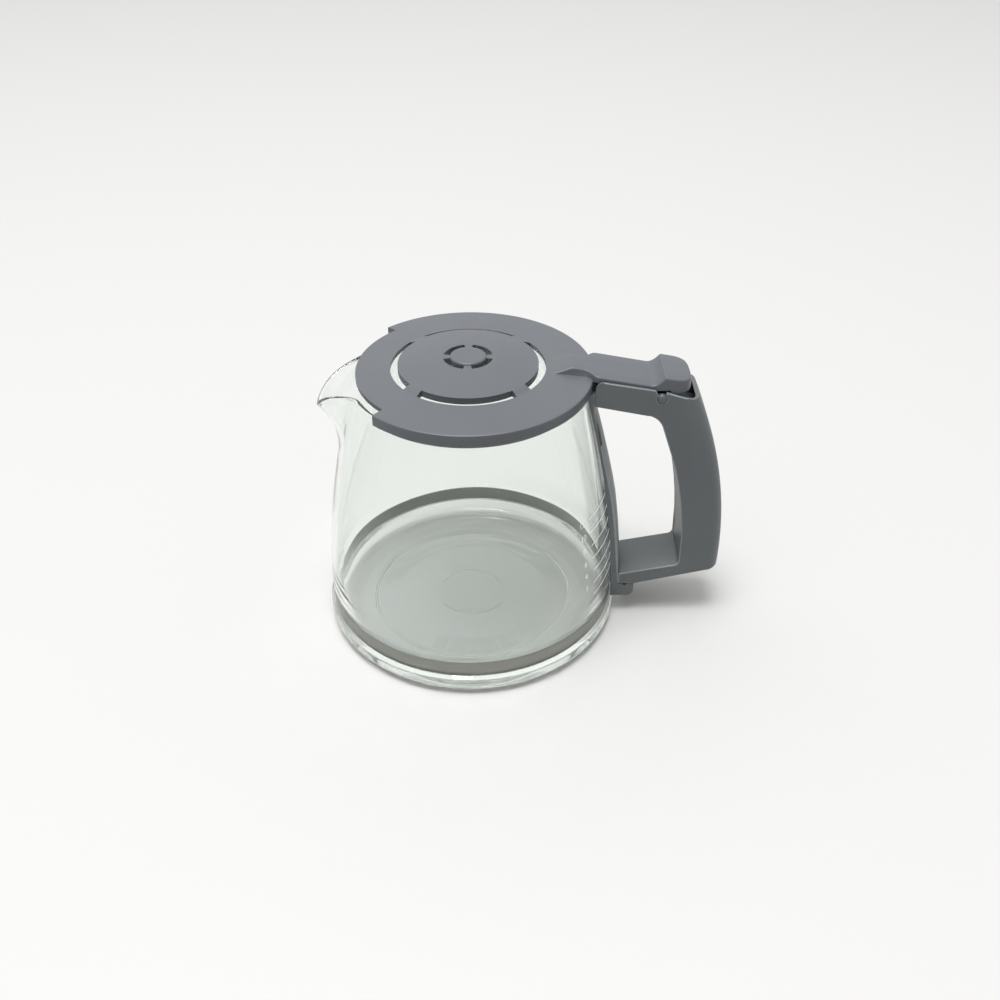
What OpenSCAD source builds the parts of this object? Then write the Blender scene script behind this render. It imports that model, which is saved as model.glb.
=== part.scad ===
// Glass coffee server with a strapped-on handle and a thumb-lever lid.
// Millimetres. The origin is the centre of the foot on the table.
// +Z is up, the handle points along +X and the pouring lip along -X.

/* [Jug] */
// Height of the glass rim above the table
jug_h = 133.5; // [120:0.5:148]
// Outer radius of the glass at the rim
rim_r = 55; // [50:0.5:58]
// Outer radius of the wall where it starts to lean in
wall_r = 72.1; // [70:0.1:73.5]
// Height where the wall starts to lean in
shoulder_z = 34; // [30:0.5:44]
// How far the foot stands out from the wall
foot_out = 1.3; // [1:0.1:2]
// Rounding of the foot's lower edge
foot_round = 2.5; // [1:0.1:5]
// Inner radius of the ring that the jug stands on
stand_r = 52; // [40:0.5:60]
// Thickness of the glass wall
glass_t = 2.4; // [1.8:0.1:3]
// Thickness of the glass floor
floor_t = 3.2; // [2.4:0.1:5]
// Height of the push-up in the middle of the floor
push_up = 1.2; // [0.6:0.1:3]
// Rounding inside between the floor and the wall
floor_round = 8; // [4:0.5:12]
// How far the bead above the band stands out from the wall
bead_out = 0.6; // [0.4:0.1:1]
// Height of that bead
bead_h = 4.4; // [3:0.1:5]

/* [Spout] */
// How far the lip stands out from the wall at its tip
spout_reach = 14.6; // [8:0.2:20]
// How far the lip dips below the rim at its tip
spout_dip = 13.8; // [6:0.2:18]
// Height of the spout below the tip of its lip
spout_rise = 21.7; // [14:0.1:30]
// Half of the angle that the spout takes up
spout_half = 26; // [18:1:34]

/* [Clamp band] */
// Height of the steel band
band_h = 8; // [6.5:0.5:9]
// Thickness of the steel band
band_t = 0.5; // [0.4:0.1:0.8]
// Height of the band's middle above the table
band_z = 15; // [14:0.5:18]
// How far the band's face lies inside the foot
band_recess = 1; // [0.8:0.1:1.4]
// Length of the band's end tabs
tab_l = 8; // [7:0.5:9]
// Height of the band's end tabs
tab_h = 5; // [4:0.5:6]
// Distance between the two end tabs
tab_gap = 3; // [2:0.5:5]

/* [Fasteners] */
// Diameter of the band screw
band_screw_d = 3; // [2.5:0.1:3.5]
// Diameter of the band screw's head
band_head_d = 5.6; // [4.6:0.1:6]
// Height of the band screw's head
band_head_h = 2.4; // [1.6:0.1:3]
// Width across the flats of the band nut
nut_w = 5.5; // [5:0.1:6]
// Thickness of the band nut
nut_t = 2.4; // [1.8:0.1:3]
// Diameter of the two screws that hold the handle to its spine
arm_screw_d = 3; // [2.5:0.1:3.4]
// Diameter of their heads
arm_head_d = 5.6; // [4.6:0.1:6.4]
// Height of their heads
arm_head_h = 1.5; // [1:0.1:1.7]
// Length of their shanks
arm_screw_l = 11; // [8:0.5:14]

/* [Spine] */
// Thickness of the strip that lies along the glass
spine_t = 3.6; // [3:0.1:4]
// Thickness of the strip just under the upper arm
spine_thin_t = 1.2; // [1:0.1:2]
// Height where the strip starts to thin
taper_z = 70; // [50:1:85]
// Width of the hook over the rim
hook_w = 16; // [10:0.5:18]
// Thickness of the hook
hook_t = 1.1; // [0.8:0.1:1.2]
// Depth of the hook inside the rim
hook_d = 5; // [3:0.5:7]
// How far the lug stands out from the spine
lug_out = 7.1; // [6.5:0.1:10]
// Height of the lug
lug_h = 7.6; // [7.2:0.1:9]
// Rounding of the lug's lower corner
lug_round = 3.5; // [1:0.5:4]
// Rounding of the top corner where the upper arm meets the lid
arm_round = 3; // [1:0.5:4]

/* [Handle] */
// Width of the handle
handle_w = 27.4; // [25:0.2:32]
// Thickness of the side cheeks
cheek_t = 1.3; // [1.1:0.1:1.8]
// Thickness of the shell
shell_t = 2; // [1.6:0.1:2.6]
// How far the grip stands out past the foot
grip_out = 52.9; // [48:0.1:60]
// Depth of the grip, from the fingers to the palm
grip_d = 20.6; // [18:0.2:24]
// Height where the grip stands out most
grip_mid_z = 36; // [30:1:50]
// Depth of the grip's upper end below the rim
back_drop = 5.6; // [5:0.1:6.5]
// Thickness of the wall behind the thumb pad
back_t = 1.8; // [1.5:0.1:2.4]
// Rounding of the grip's back edges
grip_round = 6.5; // [5:0.1:8]
// Thickness of the strip that closes the grip on the finger side
liner_t = 2; // [1.5:0.1:2.6]
// Width of that strip
liner_w = 20; // [16:0.5:21]
// Height of the upper arm at the lid
arm_h = 13.1; // [12:0.1:15]
// How far the upper arm rises above the rim
arm_rise = 4.1; // [3.6:0.1:4.6]
// Slope of the upper arm's top edge
arm_fall = 9.7; // [8:0.1:11]
// Slope of the upper arm's underside
under_fall = 11.3; // [9:0.1:14]
// Rounding between the upper arm and the grip
under_round = 10; // [5:0.5:14]
// Height of the lower arm above the lug
low_arm_h = 7; // [6:0.1:9]
// Slope of the lower arm's top
low_top_slope = 11.5; // [8:0.1:14]
// Slope of the lower arm's underside
low_under_slope = 14; // [10:0.1:16]
// Rounding between the lower arm and the grip
low_round = 3; // [1:0.5:8]

/* [Lid] */
// Thickness of the lid's plate
plate_t = 2.2; // [1.8:0.1:2.4]
// Thickness of the lid's skirt
skirt_t = 2; // [1.6:0.1:2.6]
// Height of the lid's skirt
skirt_h = 5.3; // [4:0.1:6]
// Height of the plate's outer edge above the rim
lid_rise = 3.8; // [3.7:0.1:4.4]
// Slope of the outer ring, from its edge to the vent slots
ring_rise = 1.6; // [1:0.1:2.4]
// Radius of the raised middle
crown_r = 32.5; // [28:0.5:36]
// Height of the raised middle's edge above the ring
crown_step = 1.7; // [1:0.1:3]
// Rise of the middle from its edge to its top
crown_rise = 2.8; // [1:0.1:4]
// Width of the vent slots around the middle
vent_w = 3.5; // [2:0.1:4]
// Angle of each vent slot
vent_deg = 76; // [50:1:82]
// Radius of the centre button
button_r = 8.4; // [6:0.1:10]
// Height of the centre button
button_h = 0.9; // [0.6:0.1:3]
// Thickness of the plate around the button
hub_t = 4; // [3:0.1:5]
// Width of the small slots around the button
button_slot_w = 3; // [2:0.1:4]
// Angle of each small slot
button_slot_deg = 70; // [40:1:78]
// Half of the angle that is cut away for pouring
pour_half = 45.5; // [36:0.5:54]
// Width of the rim that is cut away for pouring
pour_cut = 6; // [4.5:0.1:7]
// Depth of the ring that locates the lid in the mouth
plug_d = 6; // [4:0.5:8]
// Thickness of that ring
plug_t = 1.6; // [1.2:0.1:2.2]

/* [Lever] */
// Distance of the hinge axis from the lid's edge
hinge_out = 30.85; // [29:0.05:34]
// Depth of the hinge axis below the rim
hinge_drop = 4.9; // [4.6:0.1:5.6]
// Diameter of the hinge trunnions
trunnion_d = 4.6; // [4:0.1:5]
// Thickness of the ears that carry the trunnions
ear_t = 2.8; // [2:0.1:4]
// How far the lever's top stands above the rim at the lid's edge
lever_rise = 5.6; // [5.4:0.1:6.2]
// Slope of the lever's top
lever_fall = 10.3; // [9:0.1:11]
// Depth of the lever's sides
lever_h = 4; // [3.4:0.1:4.4]
// Wall of the hollow lever
lever_wall = 1.9; // [1.5:0.1:2.4]
// Width of the tongue where it meets the lid
tongue_w = 16.8; // [12:0.2:20]
// Length of the tongue's front ramp
tongue_ramp = 8.5; // [6:0.1:10]
// Length of the thumb pad
pad_l = 13.3; // [11:0.1:14]
// Height of the thumb pad above the hinge axis
pad_rise = 10.1; // [9:0.1:10.6]
// Depth of the thumb pad
pad_h = 7.8; // [6.5:0.1:8]
// Rounding of the pad's end in side view
pad_round = 2.5; // [1.5:0.1:3.5]
// Angle to which the lid opens
lid_open = 60; // [40:1:65]

/* [Clearances] */
// Between the band and its groove
band_fit = 0.1; // [0.05:0.05:0.2]
// Between the spine and the glass
glass_gap = 0.25; // [0.15:0.05:0.5]
// Between the spine and the handle
seam = 0.15; // [0.1:0.05:0.3]
// Between the screws and their holes
screw_fit = 0.05; // [0.05:0.05:0.15]
// Around pieces that drop into pockets
pocket_fit = 0.2; // [0.1:0.05:0.4]
// Between the lid and the glass
lid_gap = 0.3; // [0.3:0.05:0.6]
// Between the lid's locating ring and the glass
plug_gap = 0.8; // [0.6:0.1:1.2]
// Between the hook and the glass
hook_gap = 0.6; // [0.4:0.05:0.8]
// Between the lid's skirt and the rim
rim_gap = 1; // [0.8:0.1:1.4]
// Between the lid's skirt and the upper arm
arm_gap = 1.8; // [1.6:0.1:2.6]
// Between the lever and the cheeks
lever_gap = 0.35; // [0.3:0.05:0.6]
// Between the trunnions and their holes
hinge_fit = 0.06; // [0.03:0.01:0.1]
// Between the swinging pad and the handle
pad_gap = 0.6; // [0.4:0.05:1]

/* [Hidden] */
$fn = 120;
far = 200;
glass_c = [0.86, 0.92, 0.9, 0.35];
steel_c = [0.62, 0.62, 0.6];
handle_c = [0.36, 0.38, 0.39];
lid_c = [0.5, 0.52, 0.54];

// Plain geometry helpers
function unit(v) = v / norm(v);
function wrap(a) = a - 360 * floor((a + 180) / 360);
function bearing(v) = atan2(v.y, v.x);
function share(t) = min(1, max(0, t));
function on_circle(c, r, a) = c + r * [cos(a), sin(a)];
function arc(c, r, a0, a1, n) = [for (i = [0:n]) on_circle(c, r, a0 + (a1 - a0) * i / n)];

// Points that round the corner b between a and c
corner_steps = 6;
function rounded(a, b, c, r) =
  let (u = unit(a - b), v = unit(c - b), half = acos(u * v) / 2)
  let (m = b + unit(u + v) * r / sin(half), d = r / tan(half))
  let (s = bearing(b + u * d - m), e = bearing(b + v * d - m))
  arc(m, r, s, s + wrap(e - s), corner_steps);

// How far shapes that cut run past what they cut
past = 1;

// Jug: the foot, the groove for the band and a bead above it
foot_r = wall_r + foot_out;
groove_r = foot_r - band_recess - band_t - band_fit;
groove_lead = 1.3;
groove_room = 0.5;
groove_z0 = band_z - band_h / 2 - groove_room;
groove_z1 = band_z + band_h / 2 + groove_room;
bead_r = wall_r + bead_out;
bead_z0 = groove_z1 + groove_lead;
bead_z1 = bead_z0 + bead_h;
push_slope = 1.4;
floor_steps = 8;
inner_r = wall_r - glass_t;

// Jug wall above the shoulder, and the spout that swells out of it
lean_power = 1.45;
lip_power = 2.6;
swell_power = 1.6;
rise_power = 1.4;
tip_soft = 1.5;
spout_steps = 20;
round_steps = 44;
wall_steps = 14;
joint_depth = 0.5;
joint_inset = [0.03, 0.16];
lip_soft = 0.6;
lip_edge = 0.3 * glass_t;
spout_z0 = jug_h - spout_dip - spout_rise;

function lean(z) =
  let (t = max(0, z - shoulder_z) / (jug_h - shoulder_z))
  wall_r - (wall_r - rim_r) * pow(t, lean_power);
function off_tip(a) = sqrt(a * a + tip_soft * tip_soft) - tip_soft;
function lip_z(a) = jug_h - spout_dip * pow(max(0, 1 - off_tip(a) / spout_half), lip_power);
function spread(a) = abs(a) < spout_half ? pow(cos(90 * a / spout_half), 2) : 0;
function swell(a, z) =
  let (t = max(0, z - spout_z0) / (lip_z(a) - spout_z0))
  spout_reach * spread(a) * pow(t, swell_power);
function glass_r(a, z) = lean(z) + swell(a, z);
function rise(i) = 1 - pow(1 - i / wall_steps, rise_power);

// Angles from the spout's tip, closer together across the spout
round_deg = 360 - 2 * spout_half;
spout_angles = [for (i = [0:spout_steps - 1]) spout_half * (2 * i / spout_steps - 1)];
round_angles = [for (i = [0:round_steps - 1]) spout_half + round_deg * i / round_steps];
angles = concat(spout_angles, round_angles);

// One upright section of the upper wall, up the outside, over the lip and down the inside
function wall_section(a) =
  let (lip = lip_z(a), top = lip - lip_soft, low = shoulder_z - joint_depth)
  let (zs = [for (i = [0:wall_steps]) shoulder_z + (top - shoulder_z) * rise(i)])
  let (lip_r = glass_r(wrap(a), lip))
  concat(
    [[wall_r - joint_inset[0], low]],
    [for (i = [1:wall_steps]) [glass_r(wrap(a), zs[i]), zs[i]]],
    [[lip_r - lip_edge, lip], [lip_r - glass_t + lip_edge, lip]],
    [for (i = [wall_steps:-1:1]) [glass_r(wrap(a), zs[i]) - glass_t, zs[i]]],
    [[inner_r + joint_inset[1], low]]
  );

// Lid radii and heights
lid_r = rim_r + rim_gap + skirt_t;
edge_z = jug_h + lid_rise;
slot_r = crown_r + vent_w;
ring_z = edge_z + ring_rise;
crown_z = ring_z + crown_step;
button_land = 0.1;
slot_land = 0.6;
button_slot_r = button_r + button_land;
top_r = button_slot_r + button_slot_w + slot_land;
crown_edge_r = crown_r - slot_land;
ring_in_r = slot_r + slot_land;
top_z = crown_z + crown_rise;
crown_extra = 0.2;
crown_wall = plate_t + crown_extra;
crown_lip_h = 0.7;
crown_lip_t = 1.6;
hub_land = 0.9;
hub_r = top_r + hub_land;
hub_z = top_z - hub_t;
plug_r = rim_r - glass_t - plug_gap;
seat_inset = 0.4;
seat_r = rim_r - glass_t + seat_inset;
seat_t = glass_t - 2 * seat_inset;
pour_r = lid_r - pour_cut;
function lid_top(r) = edge_z + ring_rise * (lid_r - r) / (lid_r - ring_in_r);

// Hinge and thumb lever
half_w = handle_w / 2;
arm_in_r = lid_r + arm_gap;
hinge = [lid_r + hinge_out, jug_h - hinge_drop];
ear_wall = 1.5;
ear_r = trunnion_d / 2 + ear_wall;
lever_hw = half_w - cheek_t - lever_gap;
lever_root = lid_r - skirt_t / 2;
lever_x0 = arm_in_r + lever_gap;
lever_z0 = jug_h + lever_rise;
valley_back = 5;
valley_x = hinge.x - valley_back;
valley = [valley_x, lever_z0 - (valley_x - lever_x0) * tan(lever_fall)];
pad_back = 1;
pad_p0 = [hinge.x + pad_back, hinge.y + pad_rise];
pad_x1 = pad_p0.x + pad_l;
pad_p1 = [pad_x1, pad_p0.y - pad_l * tan(arm_fall)];
pad_z1 = pad_p0.y - pad_h;
pad_tuck = 0.6;
pad_foot = [pad_x1 - pad_tuck, pad_z1];
pad_end = rounded(pad_p0, pad_p1, pad_foot, pad_round);
pad_sweep = max([for (p = pad_end) norm(p - hinge)]);
ramp_steps = 6;
tongue_start = 3.2;
tongue_x0 = slot_r + tongue_start;
tongue_hw = tongue_w / 2;
tongue_draft = 22;
crest_x = tongue_x0 + tongue_ramp;
crest_z = lever_z0 + (lever_x0 - crest_x) * tan(lever_fall);
crest_hw = tongue_hw - (crest_z - lid_top(crest_x)) * tan(tongue_draft);
flare_lead = 1;
flare_x = lid_r - skirt_t - flare_lead;

// The concave ramp from the valley up to the pad, moved along by dx
function ramp(dx) = [
  for (i = [1:ramp_steps])
    let (t = i / ramp_steps)
    valley + [(pad_p0.x - valley.x) * t + dx, (pad_p0.y - valley.y) * t * t]
];

// Handle in side view
arm_top_z = jug_h + arm_rise;
back_slant = 1.12;
back_z = jug_h - back_drop;
back_x = hinge.x + pad_sweep + pad_gap + back_t * back_slant;
grip_x = foot_r + grip_out;
back_dx = grip_x - back_x;
back_dz = back_z - grip_mid_z;
back_r = (back_dx * back_dx + back_dz * back_dz) / (2 * back_dx);
grip_c = [grip_x - back_r, grip_mid_z];
finger_r = back_r - grip_d;
finger_mid_x = grip_x - grip_d;
cheek_x1 = pad_x1 + pad_gap;
corner_trim = 0.7;
cavity_hw = half_w - cheek_t;
cavity_round = grip_round - cheek_t - corner_trim;
stop_reach = norm(pad_foot - hinge);
stop_turn = lid_open - bearing(pad_foot - hinge);
stop_z = hinge.y - stop_reach * sin(stop_turn) - pad_gap;
rib_z = stop_z - shell_t;
function arm_top(x) = arm_top_z - (x - arm_in_r) * tan(arm_fall);
function arm_under(x) = arm_top_z - arm_h - (x - arm_in_r) * tan(under_fall);
function finger_x(z) = grip_c.x + sqrt(finger_r * finger_r - (z - grip_c.y) * (z - grip_c.y));

// Spine along the glass, with a head that fills the end of the upper arm
spine_below_rim = 2.6;
spine_top = jug_h - spine_below_rim;
spine_steps = 10;
head_lead = 3.5;
head_z = arm_under(arm_in_r);
head_r = arm_in_r - seam;
thin_z = head_z - head_lead;
spine_low_r = bead_r + glass_gap;
function spine_thick(z) = spine_t - (spine_t - spine_thin_t) * share((z - taper_z) / (thin_z - taper_z));
function spine_in(z) = (z < shoulder_z ? bead_r : min(bead_r, lean(z))) + glass_gap;
function spine_out(z) = spine_in(z) + spine_thick(z);

lug_z0 = groove_z0;
lug_mid_z = lug_z0 + lug_h / 2;
strip_zs = concat(
  [lug_mid_z, bead_z1],
  [for (i = [0:spine_steps]) shoulder_z + (thin_z - shoulder_z) * i / spine_steps]
);
head_outside = [[head_r, head_z], [head_r, spine_top]];
spine_outside = concat([for (z = strip_zs) [spine_out(z), z]], head_outside);
spine_inside = [for (z = concat(strip_zs, [head_z, spine_top])) [spine_in(z), z]];

// Hook over the rim and lug below the arm
hook_in_r = rim_r - glass_t - hook_gap;
hook_z = jug_h + lid_gap;
hook_leg = 2;
hook_chamfer = 2;
lug_z1 = lug_z0 + lug_h;
lug_x1 = spine_low_r + spine_t + lug_out;
low_top_z0 = lug_z1 + low_arm_h;
function low_top(x) = low_top_z0 + (x - spine_low_r - spine_t) * tan(low_top_slope);
function low_under(x) = lug_z1 + seam + max(0, x - lug_x1) * tan(low_under_slope);
hollow_z0 = low_top(finger_mid_x) + low_round;

// Screws
screw_x = groove_r + tab_l - tab_h / 2;
tab_slot_hw = tab_gap / 2 + band_t + 2 * pocket_fit;
tab_end = groove_r + band_t + tab_l + 2 * pocket_fit;
screw_sink = 0.6;
band_head_y = half_w - band_head_h - screw_sink;
nut_y = -(tab_slot_hw + shell_t + nut_t / 2);
band_hole_l = handle_w - 2 * shell_t;
band_tip_y = -(band_hole_l / 2 - pocket_fit);
drive_w = band_head_d / 7;
drive_l = 0.64 * band_head_d;
drive_d = 0.55 * band_head_h;
arm_screw_zs = [(low_under(spine_low_r) + low_top_z0) / 2, head_z + arm_head_d / 2];
head_sink = 0.3;
head_way = 1;
boss_wall = 2;
boss_w = arm_screw_d + 2 * boss_wall;
boss_l = arm_screw_l + boss_wall;

// Turns a side view drawn in x and height into a block of width w
module side(w) {
  rotate([90, 0, 0])
    linear_extrude(height = w, center = true)
      children();
}

// A slab of width w about the middle plane
module slab(w) {
  translate([-far, -w / 2, -far])
    cube([2 * far, w, 2 * far]);
}

// Turns a section drawn in radius and height about the jug, near the handle only
handle_turn = 60;
module handle_side_turn() {
  rotate([0, 0, -handle_turn / 2])
    rotate_extrude(angle = handle_turn)
      children();
}

// Turns a section about the jug, over the angle that is left open for pouring
module pour_side_turn() {
  rotate([0, 0, 180 - pour_half])
    rotate_extrude(angle = 2 * pour_half)
      children();
}

// A thick disc with rounded edges that shapes the back of the grip
module grip_disc(r, w, edge) {
  translate([grip_c.x, 0, grip_c.y])
    rotate([90, 0, 0])
      rotate_extrude()
        union() {
          translate([0, -w / 2])
            square([r - edge, w]);
          translate([0, edge - w / 2])
            square([r, w - 2 * edge]);
          for (s = [-1, 1])
            translate([r - edge, s * (w / 2 - edge)])
              circle(r = edge);
        }
}

module jug_foot() {
  rotate_extrude()
    polygon(concat(
      [[0, push_up], [stand_r - push_slope, push_up], [stand_r, 0]],
      arc([foot_r - foot_round, foot_round], foot_round, -90, 0, corner_steps),
      [[foot_r, groove_z0 - groove_lead], [groove_r, groove_z0], [groove_r, groove_z1]],
      [[bead_r, bead_z0], [bead_r, bead_z1], [wall_r, shoulder_z], [inner_r, shoulder_z]],
      arc([inner_r - floor_round, floor_t + floor_round], floor_round, 0, -90, floor_steps),
      [[stand_r, floor_t], [stand_r - push_slope, floor_t + push_up], [0, floor_t + push_up]]
    ));
}

module jug_wall() {
  sections = [for (a = angles) wall_section(a)];
  m = len(sections[0]);
  n = len(angles);
  points = [
    for (j = [0:n - 1])
      for (p = sections[j])
        [-p.x * cos(angles[j]), -p.x * sin(angles[j]), p.y]
  ];
  faces = [
    for (j = [0:n - 1])
      for (i = [0:m - 1])
        let (k = (j + 1) % n, q = (i + 1) % m)
        for (f = [[j * m + i, j * m + q, k * m + q], [j * m + i, k * m + q, k * m + i]])
          f
  ];
  polyhedron(points, faces, convexity = 6);
}

module glass_jug() {
  color(glass_c)
    union() {
      jug_foot();
      jug_wall();
    }
}

module clamp_band() {
  in_r = groove_r + band_fit;
  turn = asin((tab_gap + band_t) / 2 / in_r);
  color(steel_c)
    difference() {
      union() {
        rotate([0, 0, turn])
          rotate_extrude(angle = 360 - 2 * turn)
            translate([in_r, band_z - band_h / 2])
              square([band_t, band_h]);
        for (s = [-1, 1])
          translate([in_r + band_t / 2, (s * (tab_gap + band_t) - band_t) / 2, lug_mid_z - tab_h / 2])
            cube([tab_l, band_t, tab_h]);
      }
      band_screw_hole();
    }
}

// The hole along the band screw
module band_screw_hole() {
  translate([screw_x, 0, lug_mid_z])
    rotate([90, 0, 0])
      cylinder(d = band_screw_d + 2 * screw_fit, h = band_hole_l, center = true);
}

module band_screw() {
  color(steel_c)
    translate([screw_x, 0, lug_mid_z])
      rotate([-90, 0, 0])
        union() {
          translate([0, 0, band_tip_y])
            cylinder(d = band_screw_d, h = band_head_y - band_tip_y);
          translate([0, 0, band_head_y])
            difference() {
              cylinder(d = band_head_d, h = band_head_h);
              for (a = [0, 90])
                rotate([0, 0, a])
                  translate([-drive_l / 2, -drive_w / 2, band_head_h - drive_d])
                    cube([drive_l, drive_w, band_head_h]);
            }
        }
}

module band_nut() {
  color(steel_c)
    difference() {
      translate([screw_x - nut_w / 2, nut_y - nut_t / 2, lug_mid_z - nut_w / 2])
        cube([nut_w, nut_t, nut_w]);
      band_screw_hole();
    }
}

// The lug under the lower arm
module lug() {
  corner = rounded([0, lug_z0], [lug_x1, lug_z0], [lug_x1, lug_z1], lug_round);
  difference() {
    side(handle_w)
      polygon(concat([[rim_r, lug_z0]], corner, [[lug_x1, lug_z1], [rim_r, lug_z1]]));
    cylinder(r = spine_low_r, h = far);
  }
}

// The slot for the band's tabs, the nut pocket and the way of the band screw
module lug_pockets() {
  translate([rim_r, -tab_slot_hw, lug_mid_z - tab_h / 2 - pocket_fit])
    cube([tab_end - rim_r, 2 * tab_slot_hw, tab_h + 2 * pocket_fit]);
  translate([rim_r, nut_y - nut_t / 2 - pocket_fit, lug_mid_z - nut_w / 2 - pocket_fit])
    cube([screw_x + nut_w / 2 + pocket_fit - rim_r, nut_t + 2 * pocket_fit, nut_w + 2 * pocket_fit]);
  band_screw_hole();
  translate([screw_x, band_head_y, lug_mid_z])
    rotate([-90, 0, 0])
      cylinder(d = band_head_d + 2 * pocket_fit, h = far);
}

// The hook that goes over the rim, under the lid
module rim_hook() {
  leg_z = spine_top - hook_leg;
  top = hook_z + hook_t;
  intersection() {
    handle_side_turn()
      polygon([
        [spine_in(leg_z), leg_z], [rim_r + hook_gap, hook_z], [hook_in_r, hook_z],
        [hook_in_r, jug_h - hook_d], [hook_in_r - hook_t, jug_h - hook_d], [hook_in_r - hook_t, top],
        [head_r - hook_chamfer, top], [head_r, top - hook_chamfer], [head_r, leg_z]
      ]);
    slab(hook_w);
  }
}

module spine_bracket() {
  n = len(spine_outside) - 1;
  color(handle_c)
    difference() {
      union() {
        intersection() {
          handle_side_turn()
            polygon(concat(spine_inside, [for (i = [n:-1:0]) spine_outside[i]]));
          slab(handle_w);
        }
        rim_hook();
        lug();
      }
      arm_screw_set(screw_fit, pocket_fit, head_way);
      lug_pockets();
    }
}

// The two arm screws, or the holes that they need
module arm_screw_set(fit, head_fit, way) {
  for (z = arm_screw_zs)
    translate([spine_in(z) + head_sink, 0, z])
      rotate([0, 90, 0])
        union() {
          translate([0, 0, -way])
            cylinder(d = arm_head_d + 2 * head_fit, h = arm_head_h + way);
          cylinder(d = arm_screw_d + 2 * fit, h = arm_head_h + arm_screw_l + head_fit);
        }
}

module arm_screws() {
  color(steel_c)
    arm_screw_set(0, 0, 0);
}

// The finger gap in side view
finger_steps = 6;
finger_lead = 8;
module finger_gap() {
  z_hi = arm_under(finger_x(arm_under(hinge.x)));
  z_lo = low_top(finger_x(low_top(finger_mid_x)));
  arc_hi = z_hi - under_round - finger_lead;
  arc_lo = z_lo + finger_lead;
  zs = [for (i = [0:finger_steps]) arc_hi + (arc_lo - arc_hi) * i / finger_steps];
  side_pts = [for (z = zs) [finger_x(z), z]];
  polygon(concat(
    [[0, arm_under(0)]],
    rounded([0, arm_under(0)], [finger_x(z_hi), z_hi], side_pts[0], under_round),
    [for (i = [1:finger_steps - 1]) side_pts[i]],
    rounded(side_pts[finger_steps], [finger_x(z_lo), z_lo], [0, low_top(0)], low_round),
    [[0, low_top(0)]]
  ));
}

module handle_outline() {
  out_x = grip_x + past;
  difference() {
    intersection() {
      translate(grip_c)
        circle(r = back_r);
      polygon([
        [rim_r, arm_top(rim_r)], [hinge.x, arm_top(hinge.x)], [cheek_x1, back_z], [out_x, back_z],
        [out_x, low_under(out_x)], [lug_x1, low_under(lug_x1)], [rim_r, low_under(rim_r)]
      ]);
    }
    finger_gap();
  }
}

// What the glass, lid and spine take away from the handle
module spine_space() {
  rotate_extrude()
    polygon(concat(
      [[0, 0], [spine_out(0) + seam, 0]],
      [for (p = spine_outside) [p.x + seam, p.y]],
      rounded([arm_in_r, 0], [arm_in_r, arm_top(arm_in_r) + seam], [far, arm_top(far) + seam], arm_round),
      [[arm_in_r + arm_round, far], [0, far]]
    ));
}

// The open space in the upper arm where the lever and thumb pad move
sill_gap = 0.9;
ear_room = 2;
module arm_cavity() {
  x0 = arm_in_r + shell_t;
  x1 = hinge.x - ear_r - ear_room;
  x2 = hinge.x + ear_r + ear_room;
  sill_z = lever_z0 - lever_h - sill_gap;
  intersection() {
    side(2 * cavity_hw)
      polygon([
        [rim_r, far], [rim_r, sill_z], [x0, sill_z], [x0, arm_under(x0) + shell_t],
        [x1, arm_under(x1) + shell_t], [x2, stop_z], [grip_x, stop_z], [grip_x, far]
      ]);
    grip_disc(back_r - back_t, 2 * cavity_hw, cavity_round);
  }
}

// A ring about the grip's centre, between two heights, in side view
module grip_band(r0, r1, z0, z1) {
  intersection() {
    difference() {
      translate(grip_c)
        circle(r = r1);
      translate(grip_c)
        circle(r = r0);
    }
    translate([rim_r, z0])
      square([far, z1 - z0]);
  }
}

module grip_hollow() {
  intersection() {
    side(handle_w - 2 * shell_t)
      grip_band(finger_r + liner_t, back_r, hollow_z0, rib_z);
    grip_disc(back_r - shell_t, handle_w - 2 * shell_t, grip_round - shell_t);
  }
}

// The strip that closes the grip, or the recess that it needs, cut in from the finger side
module grip_liner_shape(fit, cut_in) {
  side(liner_w - 2 * fit)
    grip_band(finger_r - cut_in, finger_r + liner_t - fit, hollow_z0 + fit, rib_z - under_round - fit);
}

// Holes for the trunnions, open upwards so that they snap in
notch_snap = 1.2;
notch_lead = 1.5;
module hinge_holes() {
  hw = (trunnion_d - notch_snap) / 2;
  lead_z = arm_top(hinge.x) - hinge.y + notch_snap / 2;
  translate([hinge.x, 0, hinge.y])
    rotate([90, 0, 0])
      cylinder(d = trunnion_d + 2 * hinge_fit, h = handle_w + past, center = true);
  side(handle_w + past)
    translate(hinge)
      polygon([
        [-hw, 0], [hw, 0], [hw, far], [-hw - notch_lead, far],
        [-hw - notch_lead, lead_z], [-hw, lead_z - 2 * notch_lead]
      ]);
}

// The block in the upper arm that takes the upper arm screw
module screw_boss() {
  z0 = arm_under(arm_in_r + boss_l);
  z1 = arm_screw_zs[1] + boss_w / 2;
  translate([rim_r, -boss_w / 2, z0])
    cube([arm_in_r + boss_l - rim_r, boss_w, z1 - z0]);
}

module handle_shell() {
  color(handle_c)
    difference() {
      union() {
        difference() {
          intersection() {
            side(handle_w)
              handle_outline();
            grip_disc(back_r, handle_w, grip_round);
          }
          arm_cavity();
          grip_hollow();
          grip_liner_shape(0, past);
        }
        intersection() {
          screw_boss();
          side(handle_w)
            handle_outline();
        }
      }
      spine_space();
      arm_screw_set(screw_fit, pocket_fit, head_way);
      hinge_holes();
    }
}

module grip_liner() {
  color(handle_c)
    grip_liner_shape(pocket_fit, 0);
}

// One arc-shaped slot through the lid
module arc_slot(r, w, deg) {
  rotate([0, 0, -deg / 2])
    rotate_extrude(angle = deg)
      translate([r, jug_h])
        square([w, far]);
}

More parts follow.
